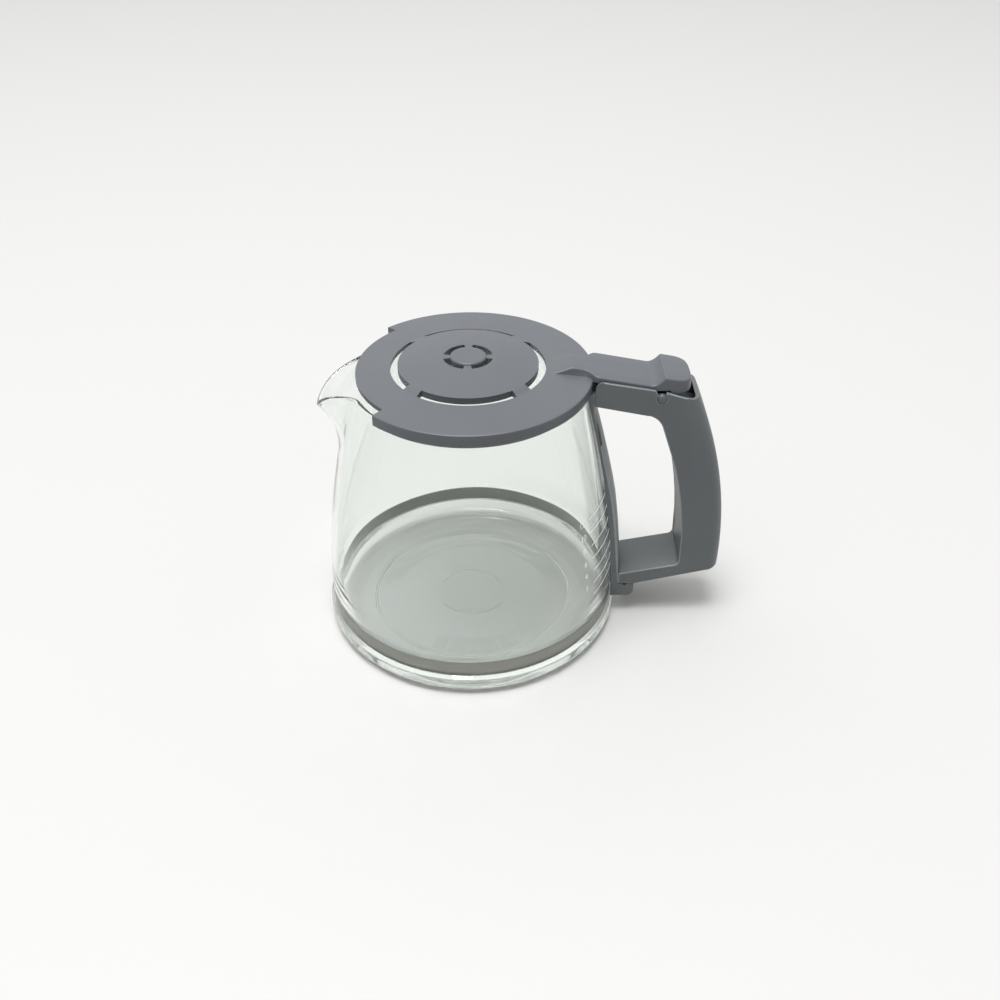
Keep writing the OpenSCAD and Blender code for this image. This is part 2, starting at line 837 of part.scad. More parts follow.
// What is cut away under the lid for pouring and for the rim hook
module lid_openings() {
  hook_room = hook_w / 2 + rim_gap;
  hook_x0 = hook_in_r - hook_t - 2 * plug_t;
  pour_side_turn()
    translate([pour_r, 0])
      square([far, far]);
  pour_side_turn()
    translate([plug_r - 2 * plug_t, 0])
      square([far, jug_h + lid_gap]);
  translate([hook_x0, -hook_room, 0])
    cube([lid_r + past - hook_x0, 2 * hook_room, hook_z + hook_t + lid_gap]);
}

// A ring under the plate, drawn in radius and height, from z0 up into the plate
module plate_rib(r, t, z0) {
  translate([r, z0])
    square([t, lid_top(r) - plate_t / 2 - z0]);
}

module lid_plate() {
  skirt_in = lid_r - skirt_t;
  skirt_z0 = edge_z - skirt_h;
  lip_r = crown_edge_r - crown_lip_t;
  lip_z = crown_z - crown_wall - crown_lip_h;
  difference() {
    rotate_extrude()
      union() {
        polygon([
          [0, top_z + button_h], [button_r, top_z + button_h], [button_r, top_z],
          [top_r, top_z], [crown_edge_r, crown_z], [ring_in_r, ring_z], [lid_r, edge_z],
          [lid_r, skirt_z0], [skirt_in, skirt_z0], [skirt_in, lid_top(skirt_in) - plate_t],
          [ring_in_r, ring_z - plate_t], [crown_edge_r, lip_z], [lip_r, lip_z], [lip_r, crown_z - crown_wall],
          [hub_r, top_z - crown_wall], [hub_r, hub_z], [0, hub_z]
        ]);
        plate_rib(plug_r - plug_t, plug_t, jug_h - plug_d);
        plate_rib(seat_r, seat_t, jug_h + lid_gap);
      }
    lid_openings();
    for (a = [0:90:270])
      rotate([0, 0, a]) {
        arc_slot(crown_r, vent_w, vent_deg);
        rotate([0, 0, 45])
          arc_slot(button_slot_r, button_slot_w, button_slot_deg);
      }
  }
}

module lever_outline() {
  polygon(concat(
    [[lever_root, lever_z0], [lever_x0, lever_z0], valley],
    ramp(0),
    pad_end,
    [pad_foot, [hinge.x + pad_back, pad_z1], [valley_x, valley.y - lever_h], [lever_root, lever_z0 - lever_h]]
  ));
}

// Everything under the lever's top surface, where the lever is hollow
module lever_hollow() {
  x1 = pad_x1 - lever_wall - pad_tuck;
  intersection() {
    polygon(concat(
      [[lever_x0 + lever_wall, 0], [lever_x0 + lever_wall, lever_z0], valley],
      ramp(pad_back),
      [pad_p1, [pad_x1, 0]]
    ));
    square([x1, far]);
  }
}

module lever_body() {
  difference() {
    intersection() {
      side(2 * lever_hw)
        lever_outline();
      pad_plan();
    }
    translate([0, 0, -lever_wall])
      side(2 * (lever_hw - lever_wall))
        lever_hollow();
  }
}

// The pad's rounded end seen from above
module pad_plan() {
  linear_extrude(height = far)
    union() {
      translate([0, -lever_hw])
        square([pad_x1 - grip_round, 2 * lever_hw]);
      translate([0, grip_round - lever_hw])
        square([pad_x1, 2 * (lever_hw - grip_round)]);
      for (s = [-1, 1])
        translate([pad_x1 - grip_round, s * (lever_hw - grip_round)])
          circle(r = grip_round);
    }
}

// The tongue in side view, from the lid's ring up to its crest and down to the lever
module tongue_side() {
  z0 = lid_top(tongue_x0);
  rise = crest_z - z0;
  ts = [for (i = [1:ramp_steps]) i / ramp_steps];
  polygon(concat(
    [[tongue_x0, z0 - plate_t / 2], [tongue_x0, z0]],
    [for (t = ts) [tongue_x0 + tongue_ramp * t, z0 + rise * sin(90 * t)]],
    [[lever_x0, lever_z0], [lever_x0, edge_z - plate_t], [lid_r - skirt_t, edge_z - plate_t / 2]]
  ));
}

// A block that leans in by the tongue's draft, on the side s
module draft_block(s) {
  translate([0, s * tongue_hw, lid_top(crest_x)])
    rotate([s * tongue_draft, 0, 0])
      translate([0, s > 0 ? -far : 0, -far])
        cube([far, far, 2 * far]);
}

// The raised tongue that runs from the lid's ring into the lever and flares to its width
module tongue() {
  intersection() {
    side(tongue_w + plate_t)
      tongue_side();
    draft_block(1);
    draft_block(-1);
  }
  intersection() {
    side(2 * lever_hw)
      tongue_side();
    linear_extrude(height = far)
      polygon([
        [flare_x, -crest_hw], [lever_x0, -lever_hw], [lever_x0, lever_hw], [flare_x, crest_hw]
      ]);
  }
}

module lid_ears() {
  ear_y = lever_hw - ear_t / 2;
  for (s = [-1, 1]) {
    translate([hinge.x, s * ear_y, hinge.y])
      rotate([90, 0, 0])
        union() {
          cylinder(r = ear_r, h = ear_t, center = true);
          translate([-ear_r, 0, -ear_t / 2])
            cube([2 * ear_r, pad_z1 - hinge.y + lever_wall, ear_t]);
        }
    translate([hinge.x, s * (ear_y + half_w - pocket_fit) / 2, hinge.y])
      rotate([90, 0, 0])
        cylinder(d = trunnion_d, h = half_w - pocket_fit - ear_y, center = true);
  }
}

module lid() {
  color(lid_c)
    union() {
      lid_plate();
      tongue();
      lever_body();
      lid_ears();
    }
}

glass_jug();
clamp_band();
band_screw();
band_nut();
spine_bracket();
handle_shell();
grip_liner();
arm_screws();
lid();
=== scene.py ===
"""Looks of a glass coffee server with a strapped-on handle and a thumb-lever lid.

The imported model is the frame. Sizes in the classes are millimetres, and every
mesh is made in metres in the frame's own axes: +Z up, handle along +X, lip
along -X.
"""

import logging
import math
from collections.abc import Callable, Iterable, Iterator, Sequence
from contextlib import contextmanager
from dataclasses import dataclass, replace
from enum import Enum

import bmesh
import bpy
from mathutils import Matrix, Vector


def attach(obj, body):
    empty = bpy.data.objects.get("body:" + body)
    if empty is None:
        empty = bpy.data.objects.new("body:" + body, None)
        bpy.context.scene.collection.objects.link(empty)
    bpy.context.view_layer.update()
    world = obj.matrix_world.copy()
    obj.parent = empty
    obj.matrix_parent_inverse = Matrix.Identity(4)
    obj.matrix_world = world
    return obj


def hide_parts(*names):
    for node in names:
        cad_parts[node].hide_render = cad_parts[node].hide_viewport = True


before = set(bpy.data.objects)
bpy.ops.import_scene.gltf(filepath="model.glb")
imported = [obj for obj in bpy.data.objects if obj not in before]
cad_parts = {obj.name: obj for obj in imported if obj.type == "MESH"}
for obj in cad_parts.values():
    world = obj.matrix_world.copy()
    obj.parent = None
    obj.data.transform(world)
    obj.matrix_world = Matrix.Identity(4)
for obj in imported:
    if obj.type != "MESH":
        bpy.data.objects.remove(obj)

log = logging.getLogger("coffee_server")

MM = 0.001
SHARP = 40.0  # Edges that turn by more degrees than this stay sharp
Point2 = tuple[float, float]
Point3 = tuple[float, float, float]
Colour = tuple[float, float, float]
Piece = bpy.types.Object
Socket = bpy.types.NodeSocket


class Body(Enum):
    """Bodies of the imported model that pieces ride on."""

    SERVER = "server"
    LID = "lid"


class Slot(Enum):
    """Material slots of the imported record."""

    GLASS = "glass"
    BAND = "band_steel"
    HANDLE = "handle_plastic"
    LID = "lid_plastic"


def linear(value: int) -> Colour:
    """Turn a 0xRRGGBB colour of a screen into linear light."""
    channels = [(value >> shift & 255) / 255 for shift in (16, 8, 0)]
    return tuple(c / 12.92 if c <= 0.04045 else ((c + 0.055) / 1.055) ** 2.4 for c in channels)


def share(t: float) -> float:
    """Clamp a number to the range from 0 to 1."""
    return min(1.0, max(0.0, t))


def ease(t: float) -> float:
    """Give a smooth step from 0 to 1 for t in that range."""
    t = share(t)
    return t * t * (3 - 2 * t)


def spaced(start: float, end: float, count: int) -> list[float]:
    """List count + 1 evenly spaced values from start to end."""
    return [start + (end - start) * i / count for i in range(count + 1)]


def around(r: float, degrees: float) -> Point2:
    """Give the point at a distance and bearing from the middle."""
    turn = math.radians(degrees)
    return r * math.cos(turn), r * math.sin(turn)


def ramp(x: float, start: Point2, end: Point2, curve: float = 1.0) -> float:
    """Give the height at x on a straight or curved line between two points."""
    t = (x - start[0]) / (end[0] - start[0])
    return start[1] + (end[1] - start[1]) * t**curve


def arc(centre: Point2, r: float, start: float, end: float, count: int) -> list[Point2]:
    """List count + 1 points of an arc, from one bearing in degrees to another."""
    spokes = [around(r, a) for a in spaced(start, end, count)]
    return [(centre[0] + x, centre[1] + y) for x, y in spokes]


def fillet(corners: Sequence[tuple[float, float, float]], steps: int = 6) -> list[Point2]:
    """Round the corners of an open line.

    Args:
        corners: Points of the line with the radius of each corner.
        steps: Segments per rounded corner.

    Returns:
        The points of the rounded line.
    """
    line = [Vector(c[:2]) for c in corners]
    points: list[Point2] = [tuple(line[0])]
    for i in range(1, len(line) - 1):
        radius = corners[i][2]
        u = (line[i - 1] - line[i]).normalized()
        v = (line[i + 1] - line[i]).normalized()
        if radius <= 0 or u.dot(v) < -0.9999:
            points.append(tuple(line[i]))
            continue
        half = math.acos(max(-1.0, min(1.0, u.dot(v)))) / 2
        reach = min(
            radius / math.tan(half),
            0.49 * (line[i - 1] - line[i]).length,
            0.49 * (line[i + 1] - line[i]).length,
        )
        start, end = line[i] + u * reach, line[i] + v * reach
        radius = reach * math.tan(half)
        centre = line[i] + (u + v).normalized() * radius / math.sin(half)
        a0 = math.atan2(start.y - centre.y, start.x - centre.x)
        a1 = math.atan2(end.y - centre.y, end.x - centre.x)
        turn = (a1 - a0 + math.pi) % (2 * math.pi) - math.pi
        for k in range(steps + 1):
            a = a0 + turn * k / steps
            points.append((centre.x + radius * math.cos(a), centre.y + radius * math.sin(a)))
    points.append(tuple(line[-1]))
    return points


class MeshMaker:
    """Collects vertices in millimetres and faces, and makes one object of them."""

    def __init__(self) -> None:
        """Start with nothing."""
        self.points: list[Point3] = []
        self.faces: list[tuple[int, ...]] = []

    def add(self, points: Iterable[Point3]) -> list[int]:
        """Add points and give their numbers.

        Args:
            points: Points in millimetres.

        Returns:
            The index of each point.
        """
        first = len(self.points)
        self.points.extend(points)
        return list(range(first, len(self.points)))

    def skin(self, rings: Sequence[Sequence[int]], closed: bool = True) -> None:
        """Join neighbouring rings of the same length with quads.

        Args:
            rings: Point numbers of each ring.
            closed: Whether each ring runs back to its start.
        """
        for low, high in zip(rings, rings[1:]):
            count = len(low)
            for i in range(count if closed else count - 1):
                k = (i + 1) % count
                self.faces.append((low[i], low[k], high[k], high[i]))

    def loft(self, rings: Sequence[Sequence[Point3]]) -> None:
        """Make a closed solid from rings of points, with flat ends.

        Args:
            rings: Points of each ring, all of one length.
        """
        numbers = [self.add(ring) for ring in rings]
        self.skin(numbers)
        self.faces.append(tuple(reversed(numbers[0])))
        self.faces.append(tuple(numbers[-1]))

    def make(self, name: str, sharp: float = SHARP) -> Piece:
        """Make the object.

        Args:
            name: Name of the object.
            sharp: Angle in degrees above which an edge stays sharp.

        Returns:
            The new object, linked to the scene.
        """
        mesh = bpy.data.meshes.new(name)
        mesh.from_pydata([tuple(c * MM for c in p) for p in self.points], [], self.faces)
        return finish_mesh(name, mesh, sharp)


@contextmanager
def edited(mesh: bpy.types.Mesh) -> Iterator[bmesh.types.BMesh]:
    """Open a mesh for editing and write it back afterwards.

    Args:
        mesh: The mesh.

    Yields:
        The mesh in its editable form.
    """
    work = bmesh.new()
    work.from_mesh(mesh)
    yield work
    work.to_mesh(mesh)
    work.free()


def shade(mesh: bpy.types.Mesh, sharp: float) -> None:
    """Shade a mesh smooth, apart from edges that turn by more than sharp degrees."""
    mesh.shade_smooth()
    mesh.set_sharp_from_angle(angle=math.radians(sharp))


def finish_mesh(name: str, mesh: bpy.types.Mesh, sharp: float = SHARP) -> Piece:
    """Clean a mesh, shade it smooth and link an object that shows it.

    Args:
        name: Name of the object.
        mesh: The mesh to clean.
        sharp: Angle in degrees above which an edge stays sharp.

    Returns:
        The new object.
    """
    with edited(mesh) as work:
        bmesh.ops.remove_doubles(work, verts=work.verts, dist=1e-6)
        loose = [point for point in work.verts if not point.link_edges]
        bmesh.ops.delete(work, geom=loose, context="VERTS")
        bmesh.ops.recalc_face_normals(work, faces=work.faces)
    shade(mesh, sharp)
    obj = bpy.data.objects.new(name, mesh)
    bpy.context.scene.collection.objects.link(obj)
    return obj


def final_mesh(obj: Piece) -> bpy.types.Mesh:
    """Give an object's mesh with all its modifiers applied, as a new mesh."""
    graph = bpy.context.evaluated_depsgraph_get()
    return bpy.data.meshes.new_from_object(obj.evaluated_get(graph))


def combine(obj: Piece, tool: Piece, operation: str) -> None:
    """Join a tool object to an object or cut it away, and remove the tool.

    Args:
        obj: The object that changes.
        tool: The object that is joined or cut away.
        operation: UNION or DIFFERENCE.
    """
    step = obj.modifiers.new(operation.lower(), "BOOLEAN")
    step.operation = operation
    step.solver = "EXACT"
    step.object = tool
    mesh = final_mesh(obj)
    obj.modifiers.clear()
    obj.data = mesh
    shade(mesh, SHARP)
    bpy.data.objects.remove(tool)
    with edited(mesh) as work:
        bmesh.ops.holes_fill(work, edges=[edge for edge in work.edges if edge.is_boundary], sides=3)


def break_edges(obj: Piece, width: float, angle: float = 35.0, segments: int = 3) -> None:
    """Round the sharp edges of an object with a live modifier, in the object's second material.

    Args:
        obj: The object.
        width: Width of the rounding in millimetres.
        angle: Edges that turn by more than this many degrees are rounded.
        segments: Segments across the rounding.
    """
    bevel = obj.modifiers.new("edge_break", "BEVEL")
    bevel.width = width * MM
    bevel.segments = segments
    bevel.limit_method = "ANGLE"
    bevel.angle_limit = math.radians(angle)
    bevel.use_clamp_overlap = True
    bevel.harden_normals = True
    # Rounded faces take the second material, a painted edge highlight
    bevel.material = 1


def solid_copy(node: str, name: str) -> Piece:
    """Copy a CAD solid, and join faces that meet at less than a degree.

    Args:
        node: Name of the CAD node.
        name: Name of the copy.

    Returns:
        The copy, as a new object.
    """
    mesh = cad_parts[node].data.copy()
    mesh.materials.clear()
    with edited(mesh) as work:
        bmesh.ops.remove_doubles(work, verts=work.verts, dist=2e-6)
        bmesh.ops.dissolve_limit(
            work, angle_limit=math.radians(1.0), verts=work.verts, edges=work.edges, delimit={"NORMAL"}
        )
    return finish_mesh(name, mesh)


def round_picked(
    obj: Piece, width: float, segments: int, weight: Callable[[bmesh.types.BMEdge], float]
) -> bpy.types.BevelModifier:
    """Round picked edges of an object with a live modifier, in the object's second material.

    Args:
        obj: The object.
        width: Width of the rounding in millimetres.
        segments: Segments across the rounding.
        weight: Gives each edge its share of the width, from 0 to 1.

    Returns:
        The modifier.
    """
    with edited(obj.data) as work:
        layer = work.edges.layers.float.new("bevel_weight_edge")
        for edge in work.edges:
            edge[layer] = weight(edge)
    bevel = obj.modifiers.new("edge_round", "BEVEL")
    bevel.width = width * MM
    bevel.segments = segments
    bevel.limit_method = "WEIGHT"
    bevel.use_clamp_overlap = False
    # Rounded faces take the second material, a painted edge highlight
    bevel.material = 1
    return bevel


class Graph:
    """A small helper around a material's or world's node tree."""

    def __init__(self, tree: bpy.types.NodeTree) -> None:
        """Start from an empty tree."""
        self.tree = tree
        tree.nodes.clear()

    def node(self, kind: str, **values: object) -> bpy.types.Node:
        """Add a node and set its inputs.

        Args:
            kind: Type of the node.
            **values: Inputs by name with underscores for blanks, each a constant
                or an output socket.

        Returns:
            The node.
        """
        node = self.tree.nodes.new(kind)
        for key, value in values.items():
            socket = node.inputs[key.replace("_", " ")]
            if isinstance(value, Socket):
                self.tree.links.new(value, socket)
            else:
                socket.default_value = value
        return node

    def surface(self, **values: object) -> bpy.types.Node:
        """Show a principled shader with the given inputs, and give the output node."""
        shader = self.node("ShaderNodeBsdfPrincipled", **values)
        return self.node("ShaderNodeOutputMaterial", Surface=shader.outputs[0])

    def noise(self, at: Socket, scale: float, detail: float = 2.0) -> Socket:
        """Add a noise pattern from 0 to 1, with its scale in cells per metre."""
        return self.node("ShaderNodeTexNoise", Vector=at, Scale=scale, Detail=detail).outputs[0]

    def remap(self, value: Socket, low: float, high: float) -> Socket:
        """Spread the middle of a noise pattern over a range."""
        ends = {"From_Min": 0.3, "From_Max": 0.7, "To_Min": low, "To_Max": high}
        return self.node("ShaderNodeMapRange", Value=value, **ends).outputs[0]

    def mix(self, factor: Socket, first: Colour, second: Colour) -> Socket:
        """Blend two colours.

        Args:
            factor: How much of the second colour.
            first: First colour.
            second: Second colour.

        Returns:
            The blended colour.
        """
        node = self.tree.nodes.new("ShaderNodeMix")
        node.data_type = "RGBA"
        self.tree.links.new(factor, node.inputs[0])
        node.inputs[6].default_value = (*first, 1)
        node.inputs[7].default_value = (*second, 1)
        return node.outputs[2]

    def math(self, operation: str, first: Socket, second: Socket | float) -> Socket:
        """Add a sum.

        Args:
            operation: Name of the sum.
            first: First value.
            second: Second value, or a constant.

        Returns:
            The result.
        """
        node = self.tree.nodes.new("ShaderNodeMath")
        node.operation = operation
        self.tree.links.new(first, node.inputs[0])
        if isinstance(second, Socket):
            self.tree.links.new(second, node.inputs[1])
        else:
            node.inputs[1].default_value = second
        return node.outputs[0]

    def bump(self, height: Socket, strength: float, distance: float) -> Socket:
        """Turn a height pattern into a normal, with its strength and its height in metres."""
        values = {"Height": height, "Strength": strength, "Distance": distance}
        return self.node("ShaderNodeBump", **values).outputs[0]


def new_material(name: str) -> tuple[bpy.types.Material, Graph]:
    """Make an empty node material.

    Args:
        name: Name of the material.

    Returns:
        The material and a helper for its nodes.
    """
    material = bpy.data.materials.new(name)
    material.use_nodes = True
    return material, Graph(material.node_tree)


@dataclass(frozen=True)
class MouldedPlastic:
    """Satin moulded plastic with a fine grain, slightly uneven colour and a painted highlight on its
    rounded edges.
    """

    name: str
    colour: Colour
    roughness: float = 0.42
    ior: float = 1.5
    cloud_scale: float = 16.0
    sheen_scale: float = 160.0
    sheen_drift: float = 0.015
    grain: float = 0.35
    grain_depth: float = 0.04
    unevenness: float = 0.08
    cool: Colour = (0.995, 0.985, 1.035)
    warm: Colour = (1.0, 1.015, 0.975)
    # Factor that lightens the rounded edges' colour: a painted highlight
    painted_highlight: float = 2.3
    polish: float = 0.06

    def build(self) -> bpy.types.Material:
        """Make the material.

        Returns:
            The material.
        """
        material, graph = new_material(self.name)
        at = graph.node("ShaderNodeTexCoord").outputs["Object"]
        cloud = graph.noise(at, self.cloud_scale, 4.0)
        sheen, drift = graph.noise(at, self.sheen_scale, 3.0), self.sheen_drift
        grain = graph.noise(at, 1 / (self.grain * MM), 2.0)
        dark = tuple(c * k * (1 - self.unevenness) for c, k in zip(self.colour, self.cool))
        light = tuple(c * k * (1 + self.unevenness) for c, k in zip(self.colour, self.warm))
        graph.surface(
            Base_Color=graph.mix(graph.remap(cloud, 0, 1), dark, light),
            Roughness=graph.remap(sheen, self.roughness - drift, self.roughness + drift),
            IOR=self.ior,
            Normal=graph.bump(grain, 0.25, self.grain_depth * MM),
        )
        return material

    def edge(self) -> "MouldedPlastic":
        """Give the paler finish of the rounded edges, a painted highlight.

        Returns:
            The finish.
        """
        # Painted highlight: the edge colour is the plastic's colour made paler
        pale = tuple(c * self.painted_highlight for c in self.colour)
        smooth = self.roughness - self.polish
        return replace(self, name=f"{self.name}_edge", colour=pale, roughness=smooth)


@dataclass(frozen=True)
class BrushedSteel:
    """Stainless steel with fine lines along the band."""

    name: str
    colour: Colour
    roughness: float = 0.34
    line: float = 0.12
    line_depth: float = 0.02
    along_scale: float = 9.0
    blotch_scale: float = 60.0
    blotch_drift: Point2 = (-0.05, 0.08)
    line_shade: float = 0.82

    def build(self) -> bpy.types.Material:
        """Make the material.

        Returns:
            The material.
        """
        material, graph = new_material(self.name)
        at = graph.node("ShaderNodeTexCoord").outputs["Object"]
        stretch = graph.node("ShaderNodeVectorMath", Vector=at)
        stretch.operation = "MULTIPLY"
        stretch.inputs[1].default_value = (self.along_scale, self.along_scale, 1 / (self.line * MM))
        lines = graph.noise(stretch.outputs[0], 1.0, 3.0)
        blotch = graph.noise(at, self.blotch_scale, 3.0)
        low, high = (self.roughness + drift for drift in self.blotch_drift)
        dark = tuple(c * self.line_shade for c in self.colour)
        graph.surface(
            Base_Color=graph.mix(graph.remap(lines, 0, 1), dark, self.colour),
            Metallic=1.0,
            Roughness=graph.remap(blotch, low, high),
            Normal=graph.bump(lines, 0.3, self.line_depth * MM),
        )
        return material


@dataclass(frozen=True)
class ClearGlass:
    """Clear blown glass with a faint grey-green body colour."""

    name: str
    tint: Colour = (0.962, 0.984, 0.968)
    depth_colour: Colour = (0.885, 0.895, 0.888)
    depth_density: float = 32.0
    ior: float = 1.47

    def build(self) -> bpy.types.Material:
        """Make the material.

        Returns:
            The material.
        """
        material, graph = new_material(self.name)
        output = graph.surface(
            Base_Color=(*self.tint, 1), Roughness=0.0, IOR=self.ior, Transmission_Weight=1.0
        )
        colour = (*self.depth_colour, 1)
        depth = graph.node("ShaderNodeVolumeAbsorption", Color=colour, Density=self.depth_density)
        graph.tree.links.new(depth.outputs[0], output.inputs["Volume"])
        return material


@dataclass(frozen=True)
class FiredInk:
    """White ceramic ink printed on the glass, slightly uneven."""

    name: str
    colour: Colour = (0.86, 0.87, 0.86)
    speck_scale: float = 900.0
    speck_depth: float = 0.02
    worn_shade: float = 0.9

    def build(self) -> bpy.types.Material:
        """Make the material.

        Returns:
            The material.
        """
        material, graph = new_material(self.name)
        at = graph.node("ShaderNodeTexCoord").outputs["Object"]
        worn = graph.remap(graph.noise(at, self.speck_scale, 3.0), 0, 1)
        dull = tuple(c * self.worn_shade for c in self.colour)
        graph.surface(
            Base_Color=graph.mix(worn, dull, self.colour),
            Roughness=0.5,
            Normal=graph.bump(worn, 0.2, self.speck_depth * MM),
        )
        return material


GLASS = ClearGlass("server_glass")
BAND_STEEL = BrushedSteel("brushed_band_steel", linear(0x92938D))
FASTENER_STEEL = BrushedSteel("fastener_steel", linear(0xA8A8A4), roughness=0.3, line=0.3)
HANDLE_PLASTIC = MouldedPlastic("handle_grey_plastic", linear(0x505456))
LID_PLASTIC = MouldedPlastic("lid_grey_plastic", linear(0x4B4E53))
SCALE_INK = FiredInk("scale_white_ink")


def dress(
    obj: Piece, materials: Sequence[bpy.types.Material], body: Body, slot: Slot, *nodes: str
) -> None:
    """Give a piece its materials and tie it to the model.

    Args:
        obj: The piece.
        materials: Its material, and that of its rounded edges where it differs.
        body: The body that it moves with.
        slot: The record's slot for its finish. Not used.
        *nodes: CAD nodes that the piece stands for.
    """
    obj.data.materials.clear()
    for material in materials:
        obj.data.materials.append(material)
    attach(obj, body.value)
    if nodes:
        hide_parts(*nodes)
    log.info("%s: %d vertices, rides on %s", obj.name, len(obj.data.vertices), body.value)


OUTSIDE, INSIDE = 0.4, 2.1  # Shifts of the blown wall's unevenness on its two faces


@dataclass
class GlassJug:
    """The blown glass jug with its foot, band groove, bead and pouring lip."""

    jug_h: float = 133.5
    rim_r: float = 55.0
    wall_r: float = 72.1
    shoulder_z: float = 34.0
    foot_r: float = 74.2
    glass_t: float = 2.4
    floor_t: float = 3.2
    push_up: float = 1.2
    stand_r: float = 51.2
    heel_out: float = 3.5
    heel_in: float = 9.0
    mould_r: float = 17.4
    mould_dip: float = 0.3
    stand_step: float = 0.6
    groove_r: float = 71.8
    groove_z: Point2 = (10.5, 19.5)
    bead_r: float = 72.7
    bead_z: Point2 = (20.8, 25.2)
    lean_curve: float = 1.45
    spout_reach: float = 14.6
    spout_dip: float = 13.8
    spout_rise: float = 21.7
    spout_half: float = 26.0
    spout_curve: float = 1.6
    lip_tip: float = 1.5
    lip_curve: float = 2.6
    lip_bead: float = 0.2
    bead_fade: float = 3.5
    rise_steps: int = 60
    rise_curve: float = 1.3
    wave: float = 0.07

    def lean(self, z: float) -> float:
        """Give the wall's outer radius at a height, away from the spout."""
        t = max(0.0, z - self.shoulder_z) / (self.jug_h - self.shoulder_z)
        return self.wall_r - (self.wall_r - self.rim_r) * min(1.0, t) ** self.lean_curve

    def lip_z(self, a: float) -> float:
        """Give the height of the lip at an angle from the spout's tip."""
        off = math.hypot(a, self.lip_tip) - self.lip_tip
        return self.jug_h - self.spout_dip * max(0.0, 1 - off / self.spout_half) ** self.lip_curve

    def radius(self, a: float, z: float) -> float:
        """Give the wall's outer radius, the spout included.

        Args:
            a: Angle from the spout's tip in degrees, -180 to 180.
            z: Height.

        Returns:
            The radius.
        """
        if abs(a) >= self.spout_half:
            return self.lean(z)
        low = self.jug_h - self.spout_dip - self.spout_rise
        t = max(0.0, z - low) / (self.lip_z(a) - low)
        spread = math.cos(math.radians(90 * a / self.spout_half)) ** 2
        return self.lean(z) + self.spout_reach * spread * t**self.spout_curve

    def ripple(self, a: float, z: float, phase: float) -> float:
        """Give the unevenness of the blown wall.

        Args:
            a: Angle in degrees.
            z: Height.
            phase: Shift of the pattern, so that both faces differ.

        Returns:
            A change of the radius.
        """
        turn = math.radians(a)
        fade = ease((z - 30) / 20) * ease((self.lip_z(a) - z) / 12)
        wide = math.sin(2 * turn + z / 23 + phase) + 0.6 * math.sin(5 * turn - z / 31 + 2 * phase)
        return self.wave * fade * wide

    def section(self, a: float) -> list[Point2]:
        """Give the outline of the glass at an angle, from under the foot to the floor inside.

        Args:
            a: Angle from the spout's tip in degrees, -180 to 180.

        Returns:
            Radius and height of each point.
        """
        ring, up, mould, step = self.stand_r, self.push_up, self.mould_r, self.stand_step
        foot = fillet([
            (1.0, up, 0), (mould - 1.8, up, 2.0), (mould, up - self.mould_dip, 2.0),
            (mould + 1.8, up, 2.0), (ring - 13.0, up, 20.0), (ring - 1.6, 0, 4.0), (ring, 0, 0.12),
            (ring + 0.3, step, 0.1), (ring + 1.2, step, 0.1), (ring + 1.5, step + 0.3, 0.1),
            (ring + 9.0, 1.3, 20.0), (self.foot_r, 2.0, self.heel_out), (self.foot_r, 9.2, 1.0),
            (self.groove_r, self.groove_z[0], 0.9), (self.groove_r, self.groove_z[1], 0.9),
            (self.bead_r, self.bead_z[0], 0.9), (self.bead_r, self.bead_z[1], 6.0),
            (self.wall_r, self.shoulder_z, 0),
        ])
        inner, floor = self.wall_r - self.glass_t, self.floor_t + up
        base = fillet([
            (inner, self.shoulder_z, 0), (inner, 23.0, 6.0), (inner - 0.4, 17.0, 6.0),
            (inner + 0.3, 13.0, 5.0), (inner - 2.4, 8.4, self.heel_in), (inner - 11.0, 5.2, 30.0),
            (ring - 13.0, floor, 60.0), (1.0, floor, 0),
        ], 10)
        half = self.glass_t / 2 + self.lip_bead
        top = self.lip_z(a) - half
        low, rise = self.shoulder_z, top - self.shoulder_z
        shares = spaced(0, 1, self.rise_steps)
        heights = [low + rise * (1 - (1 - t) ** self.rise_curve) for t in shares]
        outside, inside = [], []
        for z in heights:
            r, bead = self.radius(a, z), self.lip_bead * ease(1 - (top - z) / self.bead_fade)
            outside.append((r + self.ripple(a, z, OUTSIDE) + bead, z))
            inside.append((r - self.glass_t + self.ripple(a, z, INSIDE) - bead, z))
        round_lip = arc((self.radius(a, top) - self.glass_t / 2, top), half, 0, 180, 10)[1:-1]
        return foot + outside[1:] + round_lip + inside[:0:-1] + base

    def build(self) -> Piece:
        """Make the jug, with closer steps at the spout.

        Returns:
            The jug.
        """
        angles = spaced(-30, 30, 60)[:-1] + spaced(30, 330, 150)[:-1]
        maker = MeshMaker()
        rings: list[list[int]] = []
        for a in angles:
            near = (a + 180) % 360 - 180
            rings.append(maker.add((*around(-r, a), z) for r, z in self.section(near)))
        maker.skin([*rings, rings[0]], closed=False)
        maker.faces.append(tuple(ring[0] for ring in rings))
        maker.faces.append(tuple(ring[-1] for ring in reversed(rings)))
        return maker.make("glass_jug_body", 60.0)

    def dress(self, obj: Piece) -> None:
        """Make it clear glass."""
        dress(obj, [GLASS.build()], Body.SERVER, Slot.GLASS, "glass_jug")


